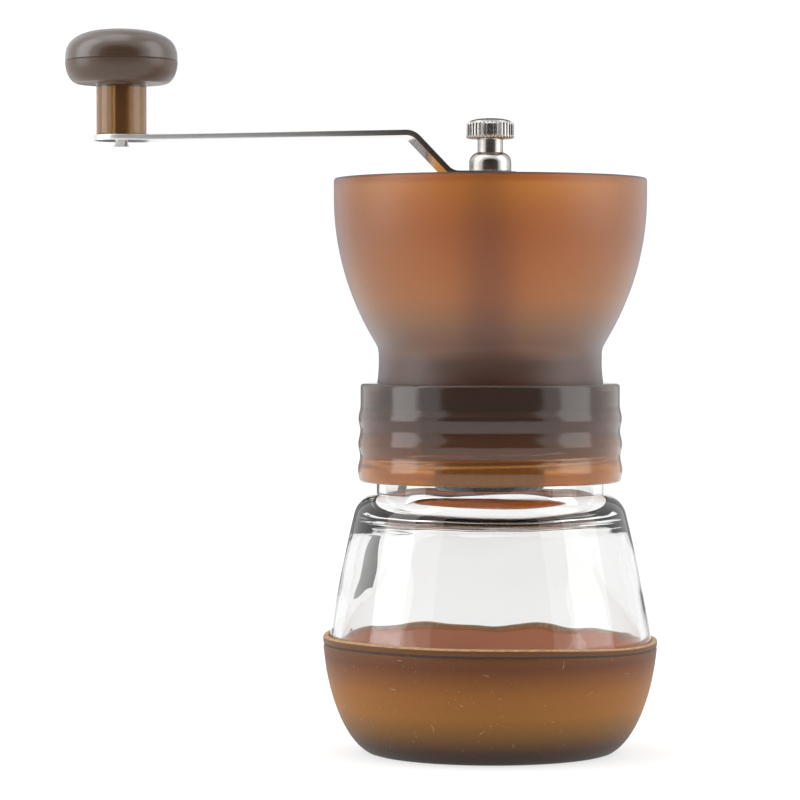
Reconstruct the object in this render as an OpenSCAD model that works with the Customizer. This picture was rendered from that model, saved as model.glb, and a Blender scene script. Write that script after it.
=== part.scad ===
// Hand crank coffee grinder: a bean hopper with ceramic burrs screwed on a glass jar, which
// stands in a rubber base cover. Units are millimetres. The origin is on the grinder's axis,
// at the centre of the cover's underside. +Z is up and the crank arm points along -X.

/* [Base cover] */
// Widest outside radius of the rubber cover
cover_r = 48.2; // [44:0.1:52]
// Height of the cover's rim above the table
cover_h = 33.3; // [28:0.1:38]
// Drop from the rim to where the wall starts to turn in
cover_rim_drop = 1.3; // [1:0.1:4]
// Wall of the cover
cover_wall = 1.6; // [1.2:0.1:2.2]
// Floor of the cover
cover_floor = 2; // [1.5:0.1:3]
// How far the wall leans in between its widest ring and the foot
cover_lean = 2; // [0:0.1:4]
// How far the round foot turns in below the lean
cover_round = 14; // [8:0.1:16]
// Share of a quarter turn that the round foot makes before it is cut flat
cover_turn = 0.98; // [0.9:0.01:0.99]
// Radius of the outer grip groove in the underside
grip_r = 30; // [24:0.5:32]
// Width of a grip groove
grip_w = 1.5; // [1:0.1:3]
// Depth of a grip groove
grip_depth = 0.6; // [0.3:0.1:1]
// Gap between the cover's wall and the glass
cover_gap = 0.1; // [0.05:0.05:0.3]

/* [Glass jar] */
// Thickness of the glass wall
jar_wall = 3.2; // [2.4:0.1:4]
// Thickness of the jar's floor
jar_floor = 7; // [4:0.5:9]
// Inside corner radius between the jar's floor and its wall
jar_corner_r = 9; // [4:0.5:12]
// Outside radius of the jar where its shoulder turns in
shoulder_out_r = 39.4; // [38:0.1:42]
// Radius of the shoulder's round
shoulder_round = 7.6; // [5:0.1:8.2]
// Height of the centre of the shoulder's round
shoulder_z = 67; // [62:0.5:68]
// How far the jar's side bulges from a straight cone
side_bulge = 0.35; // [0:0.05:1]
// Outside radius of the jar's neck, under its thread
neck_r = 32.75; // [32.4:0.05:33.2]
// Radius of the jar's mouth
mouth_r = 29.7; // [29.2:0.1:30.2]
// Height of the jar's lip
lip_z = 97; // [95:0.1:99]

/* [Jar thread] */
// Outside radius of the jar's thread
thread_r = 34.65; // [34.2:0.05:35]
// Rise of the thread in one turn, six threads to the inch
thread_pitch = 4.2333; // [4:0.01:4.6]
// Turns of thread on the jar, and turns in the collar
thread_turns = 1.5; // [1:0.25:1.75]
// Distance from the lip down to where the jar's thread ends
thread_drop = 7.7; // [6:0.1:9]
// Width of a thread ridge at its root
ridge_root_w = 2.6; // [2.2:0.1:2.8]
// Width of a thread ridge at its crest
ridge_crest_w = 1.1; // [0.8:0.1:1.3]
// Radial gap between a ridge's crest and the wall across from it
thread_gap = 0.6; // [0.4:0.05:0.8]

/* [Collar] */
// Outside radius of the collar's plain band
collar_r = 37.4; // [37.2:0.1:39]
// Height of the collar's lower edge
collar_bottom_z = 77.9; // [76.5:0.1:79]
// Height of the collar's flat shoulder
collar_top_z = 106.3; // [104:0.1:109]
// Thickness of the collar's flat shoulder
deck_t = 2.3; // [1.8:0.1:3]
// Height of one grip ring over the valley beside it
ring_h = 0.55; // [0.2:0.05:0.9]
// Spacing of the grip rings
ring_pitch = 7.4; // [6:0.1:8]
// Number of grip rings
ring_count = 3; // [1:1:3]
// Height of the lowest grip ring above the collar's lower edge
ring_first = 3.6; // [2:0.1:5]
// How far the collar flares towards its lower edge
collar_flare = 0.25; // [0:0.05:0.5]
// Radius of the collar's rounded edges
collar_edge_r = 1; // [0.4:0.1:1.4]

/* [Jar seal] */
// Thickness of the seal ring between lip and hopper
seal_t = 1.4; // [1:0.1:2]
// Radial gap between the seal ring and the collar
seal_gap = 0.4; // [0.3:0.05:0.8]

/* [Hopper] */
// Outside radius of the hopper's rim
bowl_r = 45.1; // [42:0.1:48]
// Height of the hopper's rim
rim_z = 165.2; // [160:0.1:172]
// Height of the straight band under the rim
rim_band = 5.2; // [3:0.1:8]
// Radius of the arc that the bowl's side follows
bowl_arc_r = 79.5; // [76:0.5:84]
// Outside radius of the hopper's neck
waist_r = 32.1; // [31.4:0.1:32.6]
// Height of the narrowest ring of the neck
waist_z = 113; // [110:0.5:115]
// How far the neck flares down to the collar
waist_flare = 0.5; // [0:0.05:0.8]
// How softly the bowl's arc runs into the neck
waist_blend = 0.6; // [0.3:0.1:1.5]
// Wall of the hopper
hopper_wall = 2.2; // [1.8:0.1:2.6]
// Gap drawn between the hopper's welded mouldings
weld_gap = 0.05; // [0.04:0.01:0.08]

/* [Burr holder] */
// Height where the funnel leaves the neck's inside wall
funnel_z = 113.5; // [112:0.5:116]
// Radius of the throat at the funnel's foot
throat_r = 20.4; // [20:0.1:21]
// Height of the straight throat under the funnel
throat_h = 1.8; // [1:0.1:3]
// Wall of the burr socket
socket_wall = 2; // [1.6:0.1:2.4]
// Radial gap between the outer burr and its socket
socket_gap = 0.3; // [0.1:0.05:0.4]
// Radius of each screw boss
boss_r = 2.9; // [2.6:0.1:3.1]
// Number of screws, and of keys between them
screw_count = 3; // [3:1:4]
// Radius of each key that stops the outer burr from turning
key_r = 1.3; // [1:0.1:1.6]
// Gap round each key
key_gap = 0.2; // [0.1:0.05:0.3]

/* [Centre tube] */
// Outside radius of the tube that carries the shaft
tube_r = 7.8; // [7.2:0.1:8.6]
// Bore radius of the tube
tube_bore_r = 6; // [5.6:0.1:6.4]
// Drop from the hopper's rim to the top of the tube
tube_drop = 7.2; // [6:0.1:9]
// Outside radius of the hub at the foot of the tube
hub_r = 9.2; // [8.8:0.1:10]
// Height of the hub's foot above the roof of the burr socket
hub_rise = 4; // [3.5:0.1:5]
// Height of the hub
hub_h = 9; // [7:0.5:12]
// Number of spokes that carry the hub
spoke_count = 3; // [3:1:4]
// Thickness of a spoke
spoke_t = 2.6; // [2:0.1:3.2]
// Height of a spoke
spoke_h = 7; // [5:0.5:8]
// Height of a spoke's underside over the hub's
spoke_rise = 0.5; // [0.3:0.1:1]

/* [Shaft and bushes] */
// Radius of the shaft
shaft_r = 4; // [3.8:0.1:4.3]
// Running clearance between shaft and bush, on the radius
run_gap = 0.05; // [0.02:0.01:0.08]
// Clearance of a pressed or screwed fit, on the radius
press_gap = 0.02; // [0.01:0.01:0.05]
// Length of a bush inside the tube
bush_l = 9; // [6:0.5:12]
// Thickness of a bush's flange
flange_t = 1.5; // [1:0.1:2]
// Outside radius of a bush's flange
flange_r = 7.7; // [7:0.1:8.4]
// Thickness of the thrust washer and of the spring washer
washer_t = 0.5; // [0.4:0.1:0.8]
// Outside radius of the two washers on the shaft
washer_r = 6.9; // [6.6:0.1:7.4]
// Radial gap between a washer and what passes through it
washer_gap = 0.25; // [0.15:0.05:0.4]
// Radius of the shaft's head under the crank arm
head_r = 5.2; // [4.8:0.1:6]
// Distance across the two flats of the shaft
flats_w = 6.4; // [5.8:0.1:7]
// Clearance on each flat
flat_gap = 0.08; // [0.04:0.02:0.15]
// Length of the flats that the inner burr slides on
flats_l = 11; // [9:0.5:13]

/* [Burrs] */
// Outside radius of the outer burr
burr_r = 21.7; // [21.4:0.1:22.2]
// Height of the outer burr
burr_h = 17; // [15:0.5:19]
// Crest radius of the outer burr at its lower edge
grind_r = 19.4; // [19:0.1:19.8]
// Height of the fine grinding zone
grind_h = 6; // [4:0.5:7]
// How much the grinding zone widens per millimetre down
grind_slope = 0.36; // [0.25:0.01:0.45]
// Gap between the crests of the two burrs at rest, on the radius
grind_gap = 0.6; // [0.55:0.05:0.9]
// How far the outer burr's mouth opens above the grinding zone
mouth_open = 2.6; // [1.5:0.1:3]
// Radius of the inner burr's top
cone_top_r = 8.9; // [8.6:0.1:9.4]
// Distance from the outer burr's top down to the inner burr's top
cone_drop = 1.5; // [1:0.1:4]
// Number of fine teeth, a multiple of the coarse ones
fine_teeth = 36; // [36:9:45]
// Number of coarse blades
coarse_teeth = 9; // [9:9:9]
// Depth of a fine tooth
fine_depth = 0.5; // [0.3:0.05:0.6]
// Depth of a coarse blade on the inner burr
blade_depth = 2; // [1:0.1:2.2]
// Twist of the teeth, in degrees per millimetre of height
tooth_twist = 2.4; // [0:0.1:4]
// How far the inner burr reaches below the outer one
burr_overhang = 0.6; // [0:0.1:1]

/* [Retainer and screws] */
// Thickness of the retainer ring
retainer_t = 2; // [1.5:0.1:2.5]
// Radial gap between the retainer and the inner burr's foot
exit_gap = 1.2; // [1:0.1:1.4]
// Radius of a screw's shank
screw_r = 1.5; // [1.3:0.1:1.6]
// Length of a screw under its head
screw_l = 10; // [8:0.5:12]
// Radius of a screw's head
screw_head_r = 2.6; // [2.4:0.1:2.8]
// Height of a screw's head
screw_head_h = 1.8; // [1.4:0.1:2.2]

/* [Driver, spring and dial] */
// Radius of the driver's disc in the inner burr's foot
driver_r = 13.4; // [12.5:0.1:13.8]
// Thickness of the driver's disc
driver_t = 3.5; // [3:0.1:4]
// Radius of the driver's hub
driver_hub_r = 7; // [6.9:0.1:7.3]
// Height of the driver's hub above its disc
driver_hub_h = 5.5; // [4:0.5:7]
// Number of lugs that key the driver to the inner burr
lug_count = 4; // [3:1:4]
// Width of a lug
lug_w = 4; // [3:0.1:5]
// How far a lug stands out of the disc
lug_out = 1.4; // [1:0.1:1.5]
// Gap round the driver's disc and lugs
driver_gap = 0.1; // [0.05:0.05:0.15]
// Wire diameter of the spring
wire_d = 1.1; // [0.9:0.1:1.3]
// Mean radius of the spring
spring_r = 5.6; // [5.4:0.1:5.9]
// Turns of the spring
spring_turns = 4.5; // [3:0.5:6]
// Outside radius of the adjusting dial
dial_r = 16; // [14:0.1:17]
// Height of the adjusting dial
dial_h = 9.6; // [8:0.1:10]
// Number of finger scallops round the dial
scallop_count = 24; // [12:4:28]
// Radius of a scallop
scallop_r = 1.4; // [1:0.1:1.6]
// Outside radius of the dial's threaded insert
insert_r = 5; // [4.6:0.1:6]
// Height of the threaded insert
insert_h = 7; // [5:0.5:7]

/* [Small threads] */
// Crest radius of the adjusting thread
adjust_r = 2.95; // [2.85:0.05:3.1]
// Rise of the adjusting thread in one turn
adjust_pitch = 1; // [0.9:0.05:1.1]
// Crest radius of the thumb nut's thread
stud_r = 2.45; // [2.35:0.05:2.6]
// Rise of the thumb nut's thread in one turn
stud_pitch = 0.8; // [0.7:0.05:0.9]
// Depth of a small thread's ridge, as a share of its pitch
ridge_depth = 0.55; // [0.5:0.01:0.6]
// Radial gap between a small thread's crest and the wall across from it
ridge_gap = 0.2; // [0.15:0.01:0.22]
// Length of the adjusting thread
adjust_l = 11; // [10.5:0.5:12]
// Length of the stud above the crank arm
stud_l = 11.3; // [10:0.1:12]

/* [Crank arm] */
// Distance from the grinder's axis to the knob's axis
reach = 106; // [90:1:120]
// Width of the steel strip
arm_w = 15.6; // [14:0.1:18]
// Thickness of the steel strip
arm_t = 1.6; // [1.2:0.1:2]
// Gap between the hopper's rim and the underside of the arm's foot
arm_gap = 0.4; // [0.3:0.1:1.5]
// Distance from the axis to the corner where the arm turns up
foot_l = 11.9; // [11:0.1:16]
// Rise of the arm's upper length over its foot
arm_rise = 11.6; // [9:0.1:14]
// Angle of the arm's incline
arm_angle = 46; // [40:1:60]
// Inside radius of the arm's bends
bend_r = 4; // [2.5:0.5:5]
// Droop of the arm's long length, in degrees
arm_droop = 1.45; // [0:0.01:2]
// Radius of the shaft's flatted spigot in the arm
spigot_r = 3.5; // [3.3:0.1:3.8]
// Distance across the flats of that spigot
spigot_w = 5.5; // [5.3:0.1:6]

/* [Thumb nut] */
// Radius of the thumb nut's head
nut_r = 7; // [6.2:0.1:8]
// Height of the head's knurled band
nut_band_h = 4.7; // [3.5:0.1:6]
// Height of the domed top over the band
nut_dome_h = 1.2; // [0.6:0.1:1.5]
// Number of ridges in the knurl
knurl_count = 38; // [24:1:48]
// Depth of the knurl
knurl_depth = 0.4; // [0.2:0.05:0.6]
// Radius of the nut's neck
nut_neck_r = 3.65; // [3.5:0.05:4.5]
// Height from the arm to the underside of the head
nut_neck_z = 9.5; // [8.5:0.1:11]
// Radius of the nut's bell
bell_r = 6.05; // [5.6:0.05:7]
// Radius of the bell's round shoulder
bell_round = 3; // [2.6:0.1:3.4]
// Height of the bell's straight side
bell_side_h = 2.6; // [2:0.1:3.5]

/* [Knob] */
// Radius of the knob's stem
stem_r = 7.1; // [6:0.1:8]
// Height of the stem
stem_h = 14.5; // [10:0.1:18]
// Radius of the knob's head
knob_r = 15.95; // [14:0.05:18]
// Radius where the head's underside starts to turn up
knob_flat_r = 12.1; // [8.5:0.1:13]
// Height of the head's lower shell
pan_h = 6.6; // [6:0.1:9]
// Height of the head's cap
cap_h = 8.9; // [7:0.1:11]
// Squareness of the cap's outline, 2 is an ellipse
cap_power = 2.7; // [2:0.1:3]
// Wall of the knob's two shells
knob_wall = 2; // [1.5:0.1:2.5]
// Depth of the cap's locating lip
lip_depth = 2.4; // [1.5:0.1:3]
// Clearance between that lip and the wall of the lower shell
lip_gap = 0.12; // [0.08:0.01:0.3]
// Width of the bevel on each side of the seam
seam_bevel = 0.2; // [0.1:0.05:0.4]
// Radius of the pin that the knob turns on
pin_r = 2; // [1.9:0.05:2.4]
// Radius of the pin's neck through the arm
pin_neck_r = 1.8; // [1.5:0.05:1.85]
// Radius of the pin's riveted end
rivet_r = 2.2; // [2.1:0.05:2.8]
// How far the pin stands out below the arm
rivet_h = 1.6; // [0.9:0.1:2]
// Radius of the pin's head inside the knob
pin_head_r = 4; // [3.5:0.1:4.5]
// Height of the pin's head
pin_head_h = 1.5; // [1:0.1:2]
// Outside radius of the washer under the pin's head
knob_washer_r = 4.6; // [4.2:0.1:5.2]
// Play between the washer and the pin's head
knob_play = 0.1; // [0.05:0.05:0.3]

/* [Hidden] */

$fn = 128;
// Steps in a computed outline, and segments in a turn of a coarse or a small thread
outline_steps = 24;
coarse_segs = 36;
small_segs = 18;
// How far a cut runs past a face, and how far a ridge is sunk in its wall
over = 1;
sunk = 0.35;
small_sunk = 0.12;

// Base cover and jar
bulge_z = cover_h - cover_rim_drop;
jar_in_z = cover_floor + jar_floor;
glass_inset = cover_wall + cover_gap;
side_foot = [cover_r - glass_inset, cover_h - cover_rim_drop + 0.6];
shoulder_c = [shoulder_out_r - shoulder_round, shoulder_z];
side_away = side_foot - shoulder_c;
shoulder_turn = atan2(side_away[1], side_away[0]) + acos(shoulder_round / norm(side_away));
side_head = shoulder_c + shoulder_round * [cos(shoulder_turn), sin(shoulder_turn)];
neck_turn = acos((neck_r - shoulder_c[0]) / shoulder_round);
neck_foot_z = shoulder_z + shoulder_round * sin(neck_turn);
inner_round = shoulder_round - jar_wall;

// Thread between jar and collar
skirt_r = thread_r + thread_gap;
jar_thread_z = lip_z - thread_drop - thread_pitch * thread_turns;
collar_thread_z = jar_thread_z - thread_pitch / 2;

// Hopper
land_z = lip_z + seal_t;
bowl_arc_z = rim_z - rim_band;
neck_in_r = waist_r + waist_flare - hopper_wall;
funnel_fall = 0.9;
boss_sink = 2;
rings_top_z = collar_bottom_z + ring_first + ring_pitch * (ring_count - 0.5);
holder_top_z = funnel_z - (neck_in_r - throat_r) * funnel_fall;
socket_z = holder_top_z - throat_h;
socket_r = burr_r + socket_gap;
screw_ring_r = socket_r + boss_r + 0.3;
burr_bottom_z = socket_z - burr_h;
screw_angles = [for (i = [0:screw_count - 1]) 90 + 360 / screw_count * i];
key_angles = [for (a = screw_angles) a + 180 / screw_count];
spoke_angles = [for (i = [0:spoke_count - 1]) 90 + 360 / spoke_count * i];
hub_z = socket_z + hub_rise;
tube_top_z = rim_z - tube_drop;

// Shaft line, from the arm's foot down to the dial
foot_z = rim_z + arm_gap;
thrust_z = tube_top_z + flange_t;
head_z = thrust_z + washer_t;
spring_top_z = hub_z - flange_t - washer_t;
cone_bottom_z = burr_bottom_z - burr_overhang;
cone_top_z = socket_z - cone_drop;
driver_top_z = cone_bottom_z + driver_t + driver_hub_h;
flats_z = cone_bottom_z + 1.3;
shaft_end_z = flats_z - adjust_l;

// Small threads
adjust_core_r = adjust_r - ridge_depth * adjust_pitch;
stud_core_r = stud_r - ridge_depth * stud_pitch;

// Crank arm: corners and bend centres of its side view, with u measured out from the axis
foot_top_z = foot_z + arm_t;
outer_bend_r = bend_r + arm_t;
low_tangent = bend_r * tan(arm_angle / 2);
high_tangent = outer_bend_r * tan((arm_angle + arm_droop) / 2);
low_bend = [foot_l - low_tangent, foot_top_z + bend_r];
high_corner = [foot_l + arm_rise / tan(arm_angle), foot_top_z + arm_rise];
high_bend = high_corner - high_tangent * [cos(arm_angle), sin(arm_angle)]
    + outer_bend_r * [sin(arm_angle), -cos(arm_angle)];
pad_u = reach - arm_w / 2 - 0.5;
seat_z = high_corner[1] - (pad_u - high_corner[0]) * tan(arm_droop);

// Knob, with heights from its seat on the arm
seam_h = stem_h + pan_h;
pan_floor_h = stem_h + knob_wall;
pin_seat_h = pan_floor_h + washer_t + knob_play;
lip_r = pan_inside(lip_depth) - lip_gap;

// Inside radius of the knob's lower shell at depth d below its seam
function pan_inside(d) =
    knob_flat_r
    + (knob_r - knob_wall - knob_flat_r) * sqrt(1 - pow(d / (pan_h - knob_wall), 2));

// Outside radius of the rubber cover at height z
function cover_out(z) =
    let (t = max(0, 1 - z / bulge_z))
    cover_r - cover_lean * t - cover_round * (1 - sqrt(1 - pow(t * cover_turn, 2)));
function cover_slope(z) = (cover_out(z + 0.05) - cover_out(z - 0.05)) / 0.1;
// Radius of a wall that lies w inside the cover's outside
function cover_inset(z, w) = cover_out(z) - w * sqrt(1 + pow(cover_slope(z), 2));

// Jar side above the cover: a cone with a slight bulge
function side_point(u, inset) =
    let (lean = atan2(side_foot[0] - side_head[0], side_head[1] - side_foot[1]))
    side_foot + (side_head - side_foot) * u
    + [side_bulge * 4 * u * (1 - u) - inset / cos(lean), 0];
// What the rounded inside corner takes off the jar's inside radius
function corner_cut(z) =
    let (d = min(jar_corner_r, z - jar_in_z))
    jar_corner_r - sqrt(pow(jar_corner_r, 2) - pow(jar_corner_r - d, 2));

// Hopper outside: the bowl's arc blended with the neck
function bowl_arc(z) =
    bowl_r - bowl_arc_r + sqrt(pow(bowl_arc_r, 2) - pow(max(0, bowl_arc_z - z), 2));
function waist(z) =
    waist_r + waist_flare * pow(max(0, waist_z - z) / (waist_z - collar_top_z), 2);
function bowl_out(z) =
    (bowl_arc(z) + waist(z) + sqrt(pow(bowl_arc(z) - waist(z), 2) + pow(waist_blend, 2))) / 2;
function bowl_slope(z) = (bowl_out(z + 0.05) - bowl_out(z - 0.05)) / 0.1;
function bowl_in(z) = bowl_out(z) - hopper_wall * sqrt(1 + pow(bowl_slope(z), 2));
// Height of the funnel's face at radius r, and the radius where what lies in the neck ends
function funnel_face(r) = holder_top_z + (r - throat_r) * funnel_fall;
function neck_room() = bowl_in(waist_z) - weld_gap;

// Collar outside: grip rings on a slight flare
function collar_out(z) =
    let (low = max(0, rings_top_z - z), span = rings_top_z - collar_bottom_z)
    collar_r + collar_flare * low / span
    + (z < rings_top_z
        ? ring_h / 2 * (1 + cos(360 * (z - collar_bottom_z - ring_first) / ring_pitch))
        : 0);

// Points of an arc, and of a quarter of a superellipse
function arc(c, r, a0, a1, n = 8) =
    [for (i = [0:n]) let (a = a0 + (a1 - a0) * i / n) c + r * [cos(a), sin(a)]];
function quarter(c, rx, rz, power = 2, n = 10) =
    [for (i = [0:n])
        let (a = 90 * i / n)
        c + [rx * pow(abs(cos(a)), 2 / power), rz * pow(abs(sin(a)), 2 / power)]];
function steps(a, b, n) = [for (i = [0:n]) a + (b - a) * i / n];

// Ring of radius r and bore bore, from z up to z + h
module ring(r, bore, z, h) {
    translate([0, 0, z])
        difference() {
            cylinder(r = r, h = h);
            translate([0, 0, -over]) cylinder(r = bore, h = h + 2 * over);
        }
}

// Round bar with two flats, width across them
module flatted(r, width, h) {
    intersection() {
        cylinder(r = r, h = h);
        translate([-width / 2, -r - over, 0]) cube([width, 2 * (r + over), h]);
    }
}

// Helical ridge of trapezoid section. Its root lies sunk in the wall at root_r and its
// crest is at crest_r, outside or inside the root. It fades into the wall at both ends.
module helix_ridge(root_r, crest_r, root_w, crest_w, pitch, turns, segs) {
    n = ceil(turns * segs);
    side = crest_r > root_r ? 1 : -1;
    points = [
        for (i = [0:n])
            let (
                a = 360 * turns * i / n,
                z = pitch * turns * i / n,
                grown = 0.1 + 0.9 * min(1, min(i, n - i) * 6 / segs),
                top_r = root_r + (crest_r - root_r) * grown
            )
            for (p = [[root_r, -root_w], [top_r, -crest_w], [top_r, crest_w], [root_r, root_w]])
                [p[0] * cos(a), p[0] * sin(a), z + side * p[1] / 2]
    ];
    sides = [
        for (i = [0:n - 1], j = [0:3])
            let (k = (j + 1) % 4)
            for (face = [
                [4 * i + j, 4 * i + k, 4 * i + 4 + j],
                [4 * i + k, 4 * i + 4 + k, 4 * i + 4 + j]
            ])
                face
    ];
    polyhedron(points, concat([[3, 2, 1, 0]], sides, [[4 * n, 4 * n + 1, 4 * n + 2, 4 * n + 3]]));
}

// Coil spring of n turns between z = 0 and z = h, with its ends ground flat
module coil(mean_r, wire, h, turns) {
    segs = 20;
    around = 8;
    n = ceil(turns * segs);
    rise = h - wire * 0.6;
    points = [
        for (i = [0:n])
            let (a = 360 * turns * i / n, z = wire * 0.3 + rise * i / n)
            for (j = [0:around - 1])
                let (b = 360 * j / around, r = mean_r + wire / 2 * cos(b))
                [r * cos(a), r * sin(a), z + wire / 2 * sin(b)]
    ];
    sides = [
        for (i = [0:n - 1], j = [0:around - 1])
            let (k = (j + 1) % around, p = around * i, q = around * (i + 1))
            for (face = [[p + j, p + k, q + j], [p + k, q + k, q + j]])
                face
    ];
    first = [for (j = [around - 1:-1:0]) j];
    last = [for (j = [0:around - 1]) around * n + j];
    intersection() {
        polyhedron(points, concat([first], sides, [last]));
        cylinder(r = mean_r + 2 * wire, h = h);
    }
}

// Toothed body of revolution. Each ring is [z, crest radius, fine depth, blade depth], and
// side is -1 for teeth cut into an outside face and 1 for teeth cut into a hole.
module toothed(rings, side) {
    count = 4 * fine_teeth;
    per_blade = count / coarse_teeth;
    last_ring = len(rings) - 1;
    points = [
        for (ring = rings, j = [0:count - 1])
            let (
                a = 360 * j / count + side * tooth_twist * (ring[0] - rings[0][0]),
                fine = (j % 4) / 3,
                blade = (j % per_blade) / (per_blade - 1),
                r = ring[1] + side * (ring[2] * fine + ring[3] * blade)
            )
            [r * cos(a), r * sin(a), ring[0]]
    ];
    sides = [
        for (i = [0:last_ring - 1], j = [0:count - 1])
            let (k = (j + 1) % count, p = count * i, q = count * (i + 1))
            for (face = [[p + j, q + j, p + k], [p + k, q + j, q + k]])
                face
    ];
    bottom = [for (j = [0:count - 1]) j];
    top = [for (j = [count - 1:-1:0]) count * last_ring + j];
    polyhedron(points, concat([bottom], sides, [top]));
}

// Solid inside the cover's outline at an inset, from z0 up to z1
module cover_core(inset, z0, z1) {
    rotate_extrude()
        polygon(concat(
            [[0, z0]],
            [for (z = steps(z0, z1, outline_steps)) [cover_inset(z, inset), z]],
            [[0, z1]]
        ));
}

// Rubber cover: a cup with a rounded rim and two grip grooves underneath
module base_cover() {
    color("sienna")
        difference() {
            intersection() {
                cover_core(0, 0, cover_h);
                cylinder(r1 = cover_r + cover_h, r2 = cover_r - 0.6, h = cover_h);
            }
            cover_core(cover_wall, cover_floor, cover_h + over);
            for (r = [grip_r, grip_r - 3 * grip_w])
                ring(r, r - grip_w, -over, grip_depth + over);
        }
}

// Glass jar: the lower side follows the cover, then a cone, a round shoulder and the neck
module jar_outside() {
    rotate_extrude()
        polygon(concat(
            [[0, cover_floor]],
            [for (z = steps(cover_floor, bulge_z, outline_steps)) [cover_inset(z, glass_inset), z]],
            [for (u = steps(0, 1, 10)) side_point(u, 0)],
            arc(shoulder_c, shoulder_round, shoulder_turn, neck_turn, 10),
            [[neck_r, neck_foot_z], [neck_r, lip_z - 1]],
            arc([neck_r - 1, lip_z - 1], 1, 0, 90, 4),
            [[0, lip_z]]
        ));
}

module jar_inside() {
    rotate_extrude()
        polygon(concat(
            [[0, jar_in_z]],
            [
                for (z = steps(jar_in_z, bulge_z, outline_steps))
                    [cover_inset(z, glass_inset + jar_wall) - corner_cut(z), z]
            ],
            [for (u = steps(0.05, 0.97, 10)) side_point(u, jar_wall)],
            arc(shoulder_c, inner_round, shoulder_turn, 90, 8),
            [[mouth_r, shoulder_z + inner_round], [mouth_r, lip_z + over], [0, lip_z + over]]
        ));
}

module glass_jar() {
    color([0.85, 0.92, 0.92, 0.4])
        difference() {
            union() {
                jar_outside();
                translate([0, 0, jar_thread_z])
                    helix_ridge(
                        neck_r - sunk, thread_r, ridge_root_w, ridge_crest_w,
                        thread_pitch, thread_turns, coarse_segs
                    );
            }
            jar_inside();
        }
}

// Seal ring, captive in the collar above the thread, on the jar's lip
module jar_seal() {
    color("whitesmoke") ring(skirt_r - seal_gap, mouth_r, lip_z, seal_t);
}

// Hopper: the bowl, and the neck that presses on the seal
module hopper() {
    color([0.72, 0.43, 0.24, 0.85])
        rotate_extrude()
            polygon(concat(
                [
                    [neck_in_r + hopper_wall, land_z],
                    [neck_in_r + hopper_wall, collar_top_z - 0.5]
                ],
                [for (z = steps(collar_top_z, bowl_arc_z, 2 * outline_steps)) [bowl_out(z), z]],
                [[bowl_r, rim_z - 0.6], [bowl_r - 0.4, rim_z]],
                [[bowl_r - hopper_wall + 0.4, rim_z], [bowl_r - hopper_wall, rim_z - 0.6]],
                [for (z = steps(bowl_arc_z, collar_top_z, 2 * outline_steps)) [bowl_in(z), z]],
                [[neck_in_r, land_z]]
            ));
}

// Screw collar, welded round the neck: a ringed skirt with the thread inside
module collar_shell() {
    bottom_r = collar_out(collar_bottom_z + collar_edge_r);
    bore_r = bowl_out(collar_top_z) + weld_gap;
    rotate_extrude()
        polygon(concat(
            [[skirt_r, collar_bottom_z]],
            arc(
                [bottom_r - collar_edge_r, collar_bottom_z + collar_edge_r],
                collar_edge_r, -90, -10, 4
            ),
            [
                for (z = steps(collar_bottom_z + collar_edge_r, rings_top_z, 2 * outline_steps))
                    [collar_out(z), z]
            ],
            arc([collar_r - collar_edge_r, collar_top_z - collar_edge_r], collar_edge_r, 0, 90, 4),
            [[bore_r, collar_top_z], [bore_r, collar_top_z - deck_t]],
            [[skirt_r, collar_top_z - deck_t]]
        ));
}

module collar_thread() {
    translate([0, 0, collar_thread_z])
        helix_ridge(
            skirt_r + sunk, neck_r + thread_gap, ridge_root_w, ridge_crest_w,
            thread_pitch, thread_turns, coarse_segs
        );
}

module screw_collar() {
    color([0.72, 0.43, 0.24, 0.85]) {
        collar_shell();
        collar_thread();
    }
}

// Burr holder, welded in the neck: a funnel over a socket, with screw bosses and keys
module holder_shell() {
    wall_r = socket_r + socket_wall;
    rim_r = neck_room();
    under = hopper_wall * 1.35;
    rotate_extrude()
        polygon([
            [rim_r, funnel_face(rim_r)],
            [throat_r, holder_top_z],
            [throat_r, socket_z],
            [socket_r, socket_z],
            [socket_r, burr_bottom_z],
            [wall_r, burr_bottom_z],
            [wall_r, funnel_face(wall_r) - under],
            [rim_r, funnel_face(rim_r) - under]
        ]);
}

module burr_holder() {
    color([0.72, 0.43, 0.24, 0.85])
        difference() {
            union() {
                holder_shell();
                for (a = screw_angles)
                    rotate([0, 0, a])
                        translate([screw_ring_r, 0, burr_bottom_z])
                            cylinder(r = boss_r, h = socket_z - burr_bottom_z + boss_sink);
                for (a = key_angles)
                    rotate([0, 0, a])
                        translate([socket_r + key_r / 2, 0, burr_bottom_z + 1])
                            cylinder(r = key_r, h = burr_h);
            }
            for (a = screw_angles)
                rotate([0, 0, a])
                    translate([screw_ring_r, 0, burr_bottom_z - over])
                        cylinder(r = screw_r + press_gap, h = screw_l + over);
        }
}

// Centre tube, on spokes that are welded on the funnel and to the neck
module spokes() {
    start_r = (tube_r + tube_bore_r) / 2;
    low_z = hub_z + spoke_rise;
    end_r = neck_room();
    face_r = throat_r + (low_z - holder_top_z) / funnel_fall - weld_gap;
    intersection() {
        for (a = spoke_angles)
            rotate([0, 0, a])
                translate([start_r, -spoke_t / 2, low_z]) cube([end_r, spoke_t, spoke_h]);
        rotate_extrude()
            polygon([
                [0, low_z], [face_r, low_z], [end_r, funnel_face(end_r + weld_gap)],
                [end_r, low_z + spoke_h], [0, low_z + spoke_h]
            ]);
    }
}

module centre_tube() {
    color([0.72, 0.43, 0.24, 0.85])
        difference() {
            union() {
                translate([0, 0, hub_z]) cylinder(r = hub_r, h = hub_h);
                translate([0, 0, hub_z]) cylinder(r = tube_r, h = tube_top_z - hub_z);
                spokes();
            }
            translate([0, 0, hub_z - over])
                cylinder(r = tube_bore_r, h = tube_top_z - hub_z + 2 * over);
        }
}

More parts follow.
